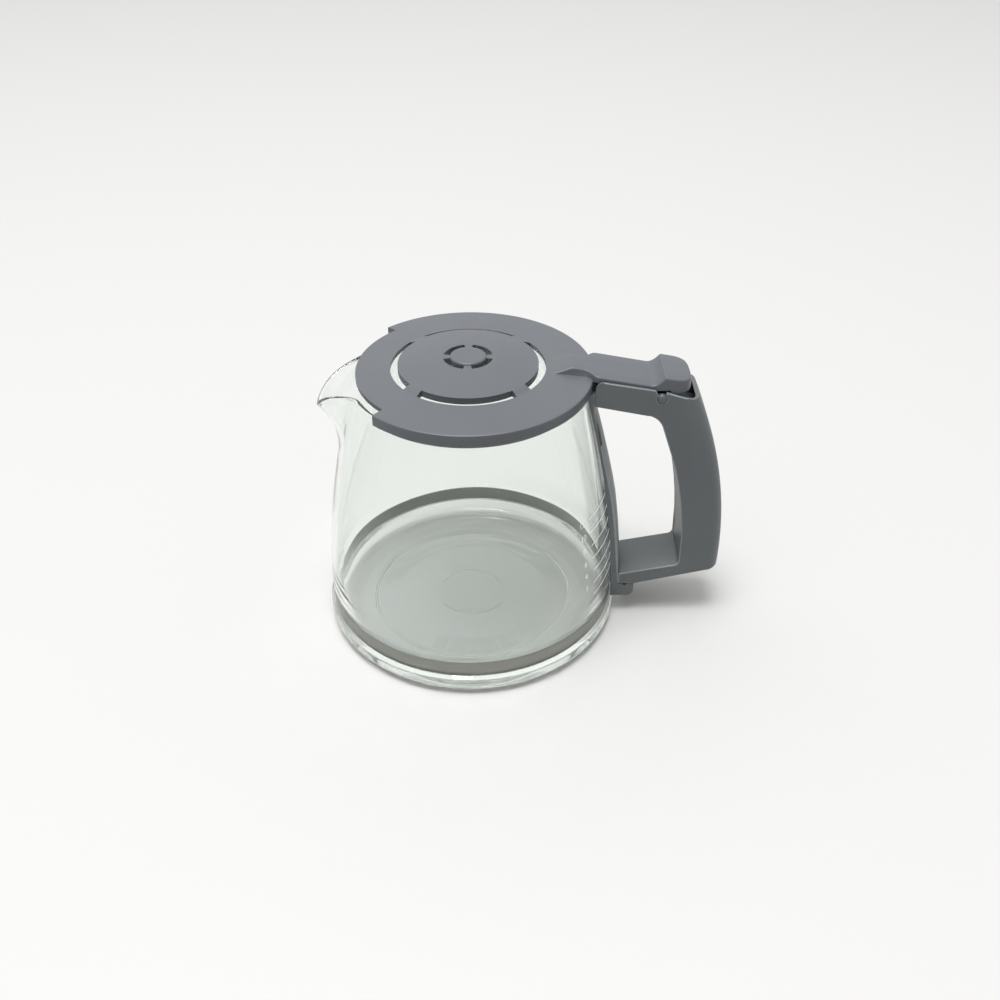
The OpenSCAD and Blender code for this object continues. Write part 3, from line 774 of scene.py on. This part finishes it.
@dataclass
class LevelScale:
    """White level lines and plain numerals printed on the glass beside the handle."""

    jug: GlassJug
    line_from: float = -33.0
    line_to: float = -12.5
    text_at: float = -38.0
    low_z: float = 33.8
    pitch: float = 7.2
    marks: int = 7
    line_h: float = 0.42
    text_h: float = 4.6
    lift: float = 0.06
    ink_t: float = 0.04

    def place(self, turn: float, z: float, lift: float) -> Point3:
        """Give a point outside the glass by bearing from the handle, height and distance from it."""
        r = self.jug.lean(z) + self.jug.ripple((turn % 360) - 180, z, OUTSIDE) + lift
        return *around(r, turn), z

    def build(self) -> Piece:
        """Make the lines as thin strips of ink.

        Returns:
            All the lines as one piece.
        """
        maker = MeshMaker()
        near, far = self.lift, self.lift + self.ink_t
        for i in range(self.marks):
            z = self.low_z + i * self.pitch
            low, high = z - self.line_h / 2, z + self.line_h / 2
            outline = ((low, near), (high, near), (high, far), (low, far))
            turns = spaced(self.line_from, self.line_to, 24)
            maker.loft([[self.place(turn, *point) for point in outline] for turn in turns])
        return maker.make("level_scale_lines")

    def numeral(self, text: str, z: float) -> Piece:
        """Make one numeral bent round the glass.

        Args:
            text: The numeral.
            z: Height of its middle.

        Returns:
            The numeral as a mesh piece.
        """
        curve = bpy.data.curves.new(f"numeral_{text}", "FONT")
        curve.body = text
        curve.size = self.text_h
        curve.align_x = "CENTER"
        curve.align_y = "CENTER"
        curve.resolution_u = 3
        draft = bpy.data.objects.new("numeral_draft", curve)
        bpy.context.scene.collection.objects.link(draft)
        mesh = final_mesh(draft)
        bpy.data.objects.remove(draft)
        for vertex in mesh.vertices:
            flat = vertex.co.copy()
            turn = self.text_at + math.degrees(flat.x / self.jug.lean(z))
            vertex.co = Vector(self.place(turn, z + flat.y, self.lift)) * MM
        return finish_mesh(f"level_numeral_{text}", mesh)

    def build_numerals(self) -> list[Piece]:
        """Make a numeral for every line but the lowest."""
        return [self.numeral(str(2 * i), self.low_z + i * self.pitch) for i in range(1, self.marks)]

    def dress(self, pieces: Iterable[Piece]) -> None:
        """Print the pieces in white ink.

        Args:
            pieces: The lines and the numerals.
        """
        ink = SCALE_INK.build()
        for piece in pieces:
            dress(piece, [ink], Body.SERVER, Slot.GLASS)


@dataclass
class ClampBand:
    """The brushed steel band in the jug's groove, with bent end tabs."""

    inner_r: float = 71.9
    band_t: float = 0.5
    band_h: float = 8.0
    band_z: float = 15.0
    tab_l: float = 8.0
    tab_h: float = 5.0
    tab_gap: float = 3.0
    lug_mid_z: float = 14.3
    bend_r: float = 0.9
    edge: float = 0.14

    def path(self) -> list[tuple[float, float, float, float]]:
        """Give the band's middle line seen from above.

        Returns:
            x, y, height of the middle and height of the strip at each point.
        """
        mid = self.inner_r + self.band_t / 2
        off = (self.tab_gap + self.band_t) / 2
        start = math.degrees(math.asin((off + 1.4) / mid))
        ring = [(*around(mid, a), 0.0) for a in spaced(start, 360 - start, 300)]
        end = mid + self.tab_l
        tab = [(end, off, 0), (mid + self.tab_l / 2, off, 0), (mid - 0.02, off, self.bend_r)]
        line = []
        for x, y in fillet([*tab, *ring, *((x, -y, r) for x, y, r in reversed(tab))]):
            t = ease((x - mid - 0.2) / 1.2) if abs(y) < off + 0.6 else 0.0
            middle = self.band_z + (self.lug_mid_z - self.band_z) * t
            line.append((x, y, middle, self.band_h + (self.tab_h - self.band_h) * t))
        return line

    def build(self) -> Piece:
        """Make the band.

        Returns:
            The band.
        """
        line = self.path()
        rings = []
        for i, (x, y, z, h) in enumerate(line):
            before, after = line[max(0, i - 1)], line[min(len(line) - 1, i + 1)]
            along = Vector((after[0] - before[0], after[1] - before[1])).normalized()
            out = Vector((along.y, -along.x)) * (self.band_t / 2)
            half, side, flat = h / 2, h / 2 - self.edge, 1 - 2 * self.edge
            outline = [
                (-1, -side), (-flat, -half), (flat, -half), (1, -side), (1, 0),
                (1, side), (flat, half), (-flat, half), (-1, side), (-1, 0),
            ]
            rings.append([(x + out.x * k, y + out.y * k, z + dz) for k, dz in outline])
        maker = MeshMaker()
        maker.loft(rings)
        return maker.make("clamp_band_strip", 50.0)

    def dress(self, obj: Piece) -> None:
        """Make it brushed steel."""
        dress(obj, [BAND_STEEL.build()], Body.SERVER, Slot.BAND, "clamp_band")


@dataclass
class Handle:
    """The hollow handle, its finger-side liner and the spine that holds it to the jug."""

    jug: GlassJug
    shell_edge: float = 0.45
    # Edges of the side faces beyond this x are rounded with a painted highlight
    highlight_from_x: float = 61.5
    spine_edge: float = 0.45
    liner_edge: float = 0.6
    half_w: float = 13.7
    side_slack: float = 0.05
    spine_t: float = 3.6
    spine_thin_t: float = 1.2
    taper_z: Point2 = (70.0, 108.0)
    spine_z: Point2 = (21.0, 108.0)
    spine_round: float = 0.45
    pin_at: Point2 = (79.0, 17.8)
    pin_r: float = 0.8
    pin_y: Point2 = (-15.0, -10.5)

    def spine_thick(self, z: float) -> float:
        """Give the thickness of the spine at a height."""
        t = share((z - self.taper_z[0]) / (self.taper_z[1] - self.taper_z[0]))
        return self.spine_t - (self.spine_t - self.spine_thin_t) * t

    def on_side(self, point: bmesh.types.BMVert) -> bool:
        """Tell whether a point is on one of the two side faces."""
        return abs(abs(point.co.y / MM) - self.half_w) < self.side_slack

    def round_spine(self, spine: Piece) -> None:
        """Round the two long outer edges of the spine, in step with its thickness, with a painted
        highlight on them.

        Args:
            spine: The spine.
        """

        def outer(point: bmesh.types.BMVert) -> bool:
            """Tell whether a point is on a long outer edge.

            Args:
                point: The point.

            Returns:
                True if it is.
            """
            x, y, z = point.co / MM
            mid = self.jug.lean(z) + self.spine_thick(z) / 2
            low, high = self.spine_z
            return self.on_side(point) and math.hypot(x, y) > mid and low < z < high

        def weight(edge: bmesh.types.BMEdge) -> float:
            """Give the long outer edges the thickness as their weight.

            Args:
                edge: An edge.

            Returns:
                Its weight.
            """
            first, last = edge.verts
            middle = (first.co.z + last.co.z) / 2 / MM
            return self.spine_thick(middle) / self.spine_t if outer(first) and outer(last) else 0.0

        # The rounding takes the pale edge material: a painted highlight along the spine's outer edges
        round_picked(spine, self.spine_round * self.spine_t, 5, weight)

    def round_and_highlight_shell(self, shell: Piece) -> None:
        """Round the edges around the two side faces of the shell, with a painted highlight on them.

        Args:
            shell: The shell.
        """

        def weight(edge: bmesh.types.BMEdge) -> float:
            """Give 1 to the square edges of the side faces away from the jug, or else 0."""
            painted_highlight = all(self.on_side(p) and p.co.x / MM > self.highlight_from_x for p in edge.verts)
            return float(painted_highlight and edge.calc_face_angle(0.0) > math.radians(60))

        # The rounding takes the pale edge material, a painted highlight
        round_picked(shell, self.shell_edge, 3, weight).harden_normals = True

    def pin(self) -> Piece:
        """Make the tool that cuts the small pin hole between the lug and the lower arm.

        Returns:
            The tool.
        """
        maker = MeshMaker()
        hole = arc(self.pin_at, self.pin_r, 0, 360, 20)[:-1]
        maker.loft([[(x, y, z) for x, z in hole] for y in self.pin_y])
        return maker.make("pin_hole")

    def build(self) -> dict[str, Piece]:
        """Make the three moulded pieces.

        Returns:
            Each piece by the CAD node that it stands for.
        """
        shell = solid_copy("handle_shell", "handle_grip_shell")
        combine(shell, self.pin(), "DIFFERENCE")
        self.round_and_highlight_shell(shell)
        spine = solid_copy("spine_bracket", "handle_spine")
        combine(spine, self.pin(), "DIFFERENCE")
        self.round_spine(spine)
        break_edges(spine, self.spine_edge)
        liner = solid_copy("grip_liner", "handle_finger_liner")
        break_edges(liner, self.liner_edge)
        return {"handle_shell": shell, "spine_bracket": spine, "grip_liner": liner}

    def dress(self, pieces: dict[str, Piece]) -> None:
        """Make the pieces grey moulded plastic.

        Args:
            pieces: Each piece by the CAD node that it stands for.
        """
        # The second material is the painted edge highlight
        plastics = [HANDLE_PLASTIC.build(), HANDLE_PLASTIC.edge().build()]
        for node, piece in pieces.items():
            dress(piece, plastics, Body.SERVER, Slot.HANDLE, node)


@dataclass
class Fasteners:
    """The band screw and nut and the two arm screws, which keep their CAD shape."""

    nodes: tuple[str, ...] = ("band_screw", "band_nut", "arm_screws")

    def dress(self) -> None:
        """Make the kept nodes steel."""
        steel = FASTENER_STEEL.build()
        for node in self.nodes:
            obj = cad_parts[node]
            obj.data.materials.clear()
            obj.data.materials.append(steel)
            log.info("%s: kept from the frame", node)


@dataclass
class LidPlate:
    """The lid's round plate with its raised middle, slots, button, skirt and locating ring."""

    lid_r: float = 58.0
    edge_z: float = 137.3
    ring_in_r: float = 36.6
    ring_z: float = 138.9
    crown_edge_r: float = 31.9
    crown_z: float = 140.6
    top_r: float = 12.1
    top_z: float = 143.4
    button_r: float = 8.4
    button_z: float = 144.3
    plate_t: float = 2.2
    crown_t: float = 2.4
    lip_r: float = 30.3
    lip_h: float = 0.7
    skirt_in: float = 56.0
    skirt_z: float = 132.0
    vent_r: Point2 = (32.5, 36.0)
    vent_deg: float = 38.0
    button_slot_r: Point2 = (8.5, 11.5)
    button_slot_deg: float = 35.0
    hub_r: float = 13.0
    hub_z: float = 139.4
    pour_r: float = 52.0
    pour_half: float = 45.5
    hook_deg: float = 9.3
    hook_z: float = 135.2
    plug_r: float = 51.8
    plug_t: float = 1.6
    plug_z: float = 127.5
    plug_sink: float = 0.4
    plug_from_deg: float = 10.6
    crown_curve: float = 1.25
    edge_break: float = 0.22

    def top(self, r: float) -> float:
        """Give the height of the upper surface outside the button.

        Args:
            r: Radius, not less than top_r.

        Returns:
            The height.
        """
        if r >= self.ring_in_r:
            return ramp(r, (self.lid_r, self.edge_z), (self.ring_in_r, self.ring_z))
        if r >= self.crown_edge_r:
            t = ease((self.ring_in_r - r) / (self.ring_in_r - self.crown_edge_r))
            return self.ring_z + (self.crown_z - self.ring_z) * t
        return ramp(r, (self.top_r, self.top_z), (self.crown_edge_r, self.crown_z), self.crown_curve)

    def under(self, r: float) -> float:
        """Give the height of the lower surface outside the hub.

        Args:
            r: Radius, not less than hub_r.

        Returns:
            The height.
        """
        if r >= self.ring_in_r:
            return self.top(r) - self.plate_t
        lip_z = self.crown_z - self.crown_t - self.lip_h
        if r > self.crown_edge_r:
            return ramp(r, (self.crown_edge_r, lip_z), (self.ring_in_r, self.ring_z - self.plate_t))
        return lip_z if r > self.lip_r else self.top(r) - self.crown_t

    def stations(self) -> list[Point2]:
        """List the section's points, from the middle over the rim to the middle below.

        Returns:
            Radius and height of each point.
        """
        b, z = self.button_r, self.button_z
        button = [
            (0.8, z), (3.0, z - 0.01), (5.5, z - 0.05), (b - 1.0, z - 0.1), (b - 0.5, z - 0.2),
            (b - 0.15, z - 0.45), (b - 0.02, z - 0.8), (b, self.top_z),
        ]
        slot = spaced(*self.button_slot_r, 3)
        crown = [
            self.top_r, self.hub_r, 14, 17, 20, 23, 26, 28.5,
            self.lip_r, self.lip_r + 0.05, 31.1, self.crown_edge_r,
        ]
        vent = spaced(*self.vent_r, 3)
        ring = [self.ring_in_r + 0.3, 38, 41, 44, 47, 50, self.pour_r, 54, 55.2, self.skirt_in]
        plate = [*crown, *vent, *ring]
        r, e, s, z = self.lid_r, self.edge_z, self.skirt_in, self.skirt_z
        rim = [
            (r - 0.9, self.top(r - 0.9)), (r - 0.45, e - 0.04), (r - 0.16, e - 0.2),
            (r - 0.03, e - 0.5), (r, e - 0.9), (r, z + 2.5), (r, z + 0.4), (r - 0.12, z + 0.12),
            (r - 0.4, z), (s + 0.4, z), (s + 0.12, z + 0.12), (s, z + 0.4),
        ]
        under = [(x, self.under(x)) for x in reversed(plate[1:])]
        hub = [(x, self.hub_z) for x in (self.hub_r, *reversed(slot), 5.0, 0.8)]
        over = [*((x, self.top_z) for x in slot), *((x, self.top(x)) for x in plate)]
        return [*button, *over, *rim, *under, *hub]

    def angles(self) -> list[float]:
        """List the bearings of the columns, with one at every slot end.

        Returns:
            The bearings in degrees, in rising order.
        """
        stops = {float(a) for a in range(0, 360, 2)}
        for k in range(4):
            stops |= {(90 * k + s * self.vent_deg) % 360 for s in (-1, 1)}
            stops |= {(45 + 90 * k + s * self.button_slot_deg) % 360 for s in (-1, 1)}
        stops |= {180 - self.pour_half, 180 + self.pour_half}
        for s in (-1, 1):
            stops |= {(s * self.hook_deg) % 360, (s * (self.hook_deg + 0.1)) % 360}
        kept: list[float] = []
        for a in sorted(stops):
            if not kept or a - kept[-1] > 0.05:
                kept.append(a)
        return kept

    def build(self) -> Piece:
        """Make the plate as one closed mesh.

        Returns:
            The plate.
        """
        line = self.stations()
        turns = self.angles()
        count = len(turns)
        maker = MeshMaker()
        columns: list[list[int]] = []
        for a in turns:
            near = (a + 180) % 360 - 180
            floor = self.hook_z if abs(near) <= self.hook_deg + 0.01 else 0.0
            columns.append(maker.add((*around(r, a), max(z, floor)) for r, z in line))

        def find(radius: float) -> tuple[int, int]:
            """Give the upper and lower place of a radius in the section."""
            hits = [i for i, p in enumerate(line) if abs(p[0] - radius) < 1e-6]
            return hits[0], hits[-1]

        def column(angle: float) -> int:
            """Give the number of the column at an angle."""
            return min(range(count), key=lambda j: abs((turns[j] - angle + 180) % 360 - 180))

        def quad(j: int, k: int, upper: int, lower: int) -> None:
            """Add a face between two columns, from an upper to a lower place."""
            a, b = columns[j], columns[k]
            maker.faces.append((a[upper], b[upper], b[lower], a[lower]))

        gone: set[tuple[int, int]] = set()
        slots = [(self.vent_r, 90 * k, self.vent_deg) for k in range(4)]
        slots += [(self.button_slot_r, 45 + 90 * k, self.button_slot_deg) for k in range(4)]
        for radii, middle, half in slots:
            (t0, b0), (t1, b1) = find(radii[0]), find(radii[1])
            j0, j1 = column(middle - half), column(middle + half)
            span = [(j0 + k) % count for k in range((j1 - j0) % count)]
            for j in span:
                gone |= {(i, j) for i in [*range(t0, t1), *range(b1, b0)]}
                k = (j + 1) % count
                for t, b in ((t0, b0), (t1, b1)):
                    quad(j, k, t, b)
            for end in (columns[j0], columns[j1]):
                for i in range(t1 - t0):
                    maker.faces.append((end[t0 + i], end[t0 + i + 1], end[b0 - i - 1], end[b0 - i]))
        top, low = find(self.pour_r)
        j0, j1 = column(180 - self.pour_half), column(180 + self.pour_half)
        for j in range(j0, j1):
            gone |= {(i, j) for i in range(top, low)}
            quad(j, j + 1, top, low)
        for j in (j0, j1):
            maker.faces.append(tuple(columns[j][top:low + 1]))
        for j in range(count):
            k = (j + 1) % count
            for i in range(len(line) - 1):
                if (i, j) not in gone:
                    quad(j, k, i, i + 1)
        maker.faces.append(tuple(c[0] for c in columns))
        maker.faces.append(tuple(c[-1] for c in reversed(columns)))
        plate = maker.make("lid_plate")
        break_edges(plate, self.edge_break, 50.0, 2)
        return plate

    def build_rings(self) -> Piece:
        """Make the locating ring under the plate, open at the lip and at the hook.

        Returns:
            Both halves of the ring as one piece.
        """
        maker = MeshMaker()
        r1, r0 = self.plug_r, self.plug_r - self.plug_t
        z0, z1 = self.plug_z, self.top(self.plug_r) - self.plate_t + self.plug_sink
        outline = fillet([(r0, z1, 0), (r0, z0, 0.5), (r1, z0, 0.5), (r1, z1, 0)], 4)
        turns = spaced(self.plug_from_deg, 180 - self.pour_half, 70)
        for s in (-1, 1):
            maker.loft([[(*around(r, s * a), z) for r, z in outline] for a in turns])
        return maker.make("lid_locating_ring")


@dataclass
class LidLever:
    """The tongue, hollow thumb lever, thumb pad and hinge ears of the lid."""

    plate: LidPlate
    tongue_x0: float = 39.2
    tongue_l: float = 16.8
    tongue_w: float = 7.0
    tongue_foot: Point2 = (7.6, 9.2)
    crest: Point2 = (47.7, 141.36)
    flare_x: Point2 = (53.0, 59.5)
    root: Point2 = (60.15, 139.1)
    half_w: float = 12.05
    valley: Point2 = (83.85, 134.79)
    pad_0: Point2 = (89.85, 138.7)
    pad_1: Point2 = (103.15, 136.43)
    pad_low: float = 130.9
    pad_round: float = 2.5
    pad_end: float = 9.0
    pad_curve: float = 2.6
    top_edge: float = 0.9
    edge_break: float = 0.35
    lever_h: float = 4.0
    wall: float = 1.9
    nose_x: float = 98.0
    nose_wall: float = 2.2
    hollow_z: float = 120.0
    hinge: Point2 = (88.85, 128.6)
    ear_r: float = 3.8
    ear_t: float = 2.8
    ear_sink: float = 1.4
    pin_sink: float = 0.8
    trunnion_r: float = 2.3
    dome: tuple[Point2, ...] = ((13.6, 2.3), (13.95, 2.1), (14.2, 1.7), (14.38, 1.1), (14.45, 0.3))

    def top(self, x: float) -> float:
        """Give the height of the upper surface along the middle.

        Args:
            x: Place along the lever.

        Returns:
            The height.
        """
        if x < self.crest[0]:
            return ramp(x, (self.tongue_x0, self.plate.top(self.tongue_x0)), self.crest)
        if x <= self.valley[0]:
            return ramp(x, self.root, self.valley)
        if x <= self.pad_0[0]:
            return ramp(x, self.valley, self.pad_0, 2.0)
        r = self.pad_round
        over = max(0.0, x - (self.pad_1[0] - r))
        return ramp(x, self.pad_0, self.pad_1) - (r - math.sqrt(max(0.0, r**2 - over**2)))

    def low(self, x: float) -> float:
        """Give the height of the lower edge.

        Args:
            x: Place along the lever.

        Returns:
            The height.
        """
        if x < self.root[0]:
            return self.plate.top(min(x, self.plate.lid_r)) - 1.0
        if x <= self.valley[0]:
            return self.top(x) - self.lever_h
        return self.pad_low

    def width(self, x: float) -> Point2:
        """Give half of the width.

        Args:
            x: Place along the lever.

        Returns:
            The half at the top and the half at the foot.
        """
        flare = ease(ramp(x, (self.flare_x[0], 0.0), (self.flare_x[1], 1.0)))
        head = self.tongue_w + (self.half_w - self.tongue_w) * flare
        near, far = self.tongue_foot
        foot = near + (far - near) * share((x - self.tongue_x0) / self.tongue_l)
        foot += (self.half_w - foot) * flare
        if x < self.crest[0]:
            t = (x - self.tongue_x0) / (self.crest[0] - self.tongue_x0)
            head = foot + (head - foot) * math.sin(math.radians(90 * t))
        t = share((x - (self.pad_1[0] - self.pad_end)) / self.pad_end)
        trim = max(0.04, 1 - t**self.pad_curve) ** (1 / self.pad_curve)
        return head * trim, foot * trim

    def ring(self, x: float) -> list[Point3]:
        """Give one upright section across the lever.

        Args:
            x: Place along the lever.

        Returns:
            The section's points.
        """
        head, foot = self.width(x)
        z1, z0 = self.top(x), self.low(x)
        r = min(self.top_edge, 0.45 * (z1 - z0))
        near = [(r - head - dy, z1 - r + dz) for dy, dz in arc((0.0, 0.0), r, 0, 90, 4)]
        top = [(head * k, z1) for k in (-0.4, 0, 0.4)]
        far = [(-y, z) for y, z in reversed(near)]
        return [(x, y, z) for y, z in [(-foot, z0), *near, *top, *far, (foot, z0)]]

    def build(self) -> Piece:
        """Make the lever with its hollow underside.

        Returns:
            The lever.
        """
        start = spaced(self.tongue_x0 + 0.15, self.crest[0], 12)
        xs = [*start, 49, 51, 53, *spaced(53.5, 62.5, 12), *spaced(64, 82, 9), *spaced(83, 90.5, 15)]
        xs += [92, 94, *spaced(95.5, 100, 6)]
        xs += [self.pad_1[0] - 3.15 * (1 - math.sin(math.radians(b))) for b in spaced(12, 90, 9)]
        maker = MeshMaker()
        maker.loft([self.ring(x) for x in xs])
        lever = maker.make("lid_lever")
        hollow = MeshMaker()
        rings = []
        for x in [self.root[0] + self.wall, 66, 74, 82, *spaced(84.5, 91, 8), 96, self.pad_1[0] - 4.0]:
            w = self.half_w - self.wall - (self.nose_wall if x > self.nose_x else 0.0)
            z1 = min(self.top(x), self.top(x - 1.0)) - self.wall
            rings.append([(x, -w, self.hollow_z), (x, -w, z1), (x, w, z1), (x, w, self.hollow_z)])
        hollow.loft(rings)
        combine(lever, hollow.make("hollow"), "DIFFERENCE")
        break_edges(lever, self.edge_break, 40.0)
        return lever

    def build_ears(self) -> Piece:
        """Make the two ears and the trunnions on them.

        Returns:
            Both ears as one piece.
        """
        maker = MeshMaker()
        hx, r, top = self.hinge[0], self.ear_r, self.pad_low + self.ear_sink
        ear = [(hx - r, top), *arc(self.hinge, r, 180, 360, 18), (hx + r, top)]
        pin = [(self.half_w - self.pin_sink, self.trunnion_r), *self.dome]
        circles = [(y, arc(self.hinge, pin_r, 0, 360, 32)[:-1]) for y, pin_r in pin]
        for s in (-1, 1):
            ends = s * (self.half_w - self.ear_t), s * self.half_w
            maker.loft([[(x, y, z) for x, z in ear] for y in ends])
            maker.loft([[(x, s * y, z) for x, z in circle] for y, circle in circles])
        return maker.make("lid_hinge_ears")


@dataclass
class Lid:
    """The whole lid: plate, locating ring, lever and hinge ears."""

    plate: LidPlate
    lever: LidLever

    def build(self) -> list[Piece]:
        """Make the lid's pieces."""
        plate, lever = self.plate, self.lever
        return [plate.build(), plate.build_rings(), lever.build(), lever.build_ears()]

    def dress(self, pieces: Iterable[Piece]) -> None:
        """Make the pieces grey moulded plastic.

        Args:
            pieces: The lid's pieces.
        """
        # The second material is the painted edge highlight
        plastics = [LID_PLASTIC.build(), LID_PLASTIC.edge().build()]
        for piece in pieces:
            dress(piece, plastics, Body.LID, Slot.LID, "lid")


@dataclass
class Studio:
    """Camera, pale floor and soft light."""

    eye: Point3 = (14.65, -439.3, 383.4)
    target: Point3 = (14.65, 0.0, 61.82)
    lens: float = 38.93
    sensor: float = 36.0
    floor_half: float = 40000.0
    floor_z: float = -0.05
    floor_colour: Colour = (0.438, 0.438, 0.434)
    dim_glow: float = 0.42
    bright_glow: float = 1.1
    bright_side: Point2 = (-0.4, 0.92)
    zenith_glow: float = 0.8
    sky_colour: Colour = (1.0, 1.0, 0.985)
    lamp_at: Point3 = (-250.0, -300.0, 2800.0)
    lamp_size: float = 1200.0
    lamp_power: float = 86.0
    glass_bounces: int = 40

    def build_camera(self) -> None:
        """Set the camera where the photograph was taken."""
        data = bpy.data.cameras.new("camera")
        data.lens = self.lens
        data.sensor_width = self.sensor
        data.clip_start = 0.01
        camera = bpy.data.objects.new("camera", data)
        camera.location = Vector(self.eye) * MM
        aim = Vector(self.target) - Vector(self.eye)
        camera.rotation_euler = aim.to_track_quat("-Z", "Y").to_euler()
        bpy.context.scene.collection.objects.link(camera)
        bpy.context.scene.camera = camera

    def build_floor(self) -> None:
        """Lay a pale floor under the object."""
        h, z = self.floor_half, self.floor_z
        maker = MeshMaker()
        maker.faces.append(tuple(maker.add([(-h, -h, z), (h, -h, z), (h, h, z), (-h, h, z)])))
        floor = maker.make("floor")
        material, graph = new_material("pale_floor")
        graph.surface(Base_Color=(*self.floor_colour, 1), Roughness=0.6)
        floor.data.materials.append(material)

    def build_light(self) -> None:
        """Light from above with a broad, soft sky and a large soft lamp."""
        scene = bpy.context.scene
        scene.view_settings.view_transform = "Standard"
        for kind in ("max", "transmission", "glossy"):
            setattr(scene.cycles, f"{kind}_bounces", self.glass_bounces)
        scene.cycles.blur_glossy = 0.0
        world = bpy.data.worlds.new("studio")
        world.use_nodes = True
        graph = Graph(world.node_tree)
        at = graph.node("ShaderNodeTexCoord").outputs["Generated"]
        axes = graph.node("ShaderNodeSeparateXYZ", Vector=at).outputs
        up = graph.node("ShaderNodeClamp", Value=axes["Z"]).outputs[0]
        overhead = graph.math("MULTIPLY", graph.math("POWER", up, 3.0), self.zenith_glow)
        x, y = (graph.math("MULTIPLY", axes[k], v) for k, v in zip("XY", self.bright_side))
        low_sky = graph.node(
            "ShaderNodeMapRange", Value=graph.math("ADD", x, y), From_Min=-1.0, From_Max=1.0,
            To_Min=self.dim_glow, To_Max=self.bright_glow,
        ).outputs[0]
        glow = graph.math("ADD", overhead, low_sky)
        sky = graph.node("ShaderNodeBackground", Color=(*self.sky_colour, 1), Strength=glow)
        graph.node("ShaderNodeOutputWorld", Surface=sky.outputs[0])
        scene.world = world
        lamp = bpy.data.lights.new("softbox", "AREA")
        lamp.shape = "SQUARE"
        lamp.size = self.lamp_size * MM
        lamp.energy = self.lamp_power
        box = bpy.data.objects.new("softbox", lamp)
        box.location = Vector(self.lamp_at) * MM
        box.rotation_euler = (-box.location).to_track_quat("-Z", "Y").to_euler()
        scene.collection.objects.link(box)


def main() -> None:
    """Build and dress every piece."""
    logging.basicConfig(level=logging.INFO, format="%(message)s")
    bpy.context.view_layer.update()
    studio = Studio()
    studio.build_camera()
    studio.build_floor()
    studio.build_light()

    jug = GlassJug()
    jug.dress(jug.build())
    scale = LevelScale(jug)
    scale.dress([scale.build(), *scale.build_numerals()])
    band = ClampBand()
    band.dress(band.build())
    handle = Handle(jug)
    handle.dress(handle.build())
    Fasteners().dress()
    plate = LidPlate()
    lid = Lid(plate, LidLever(plate))
    lid.dress(lid.build())


if __name__ == "__main__":
    main()
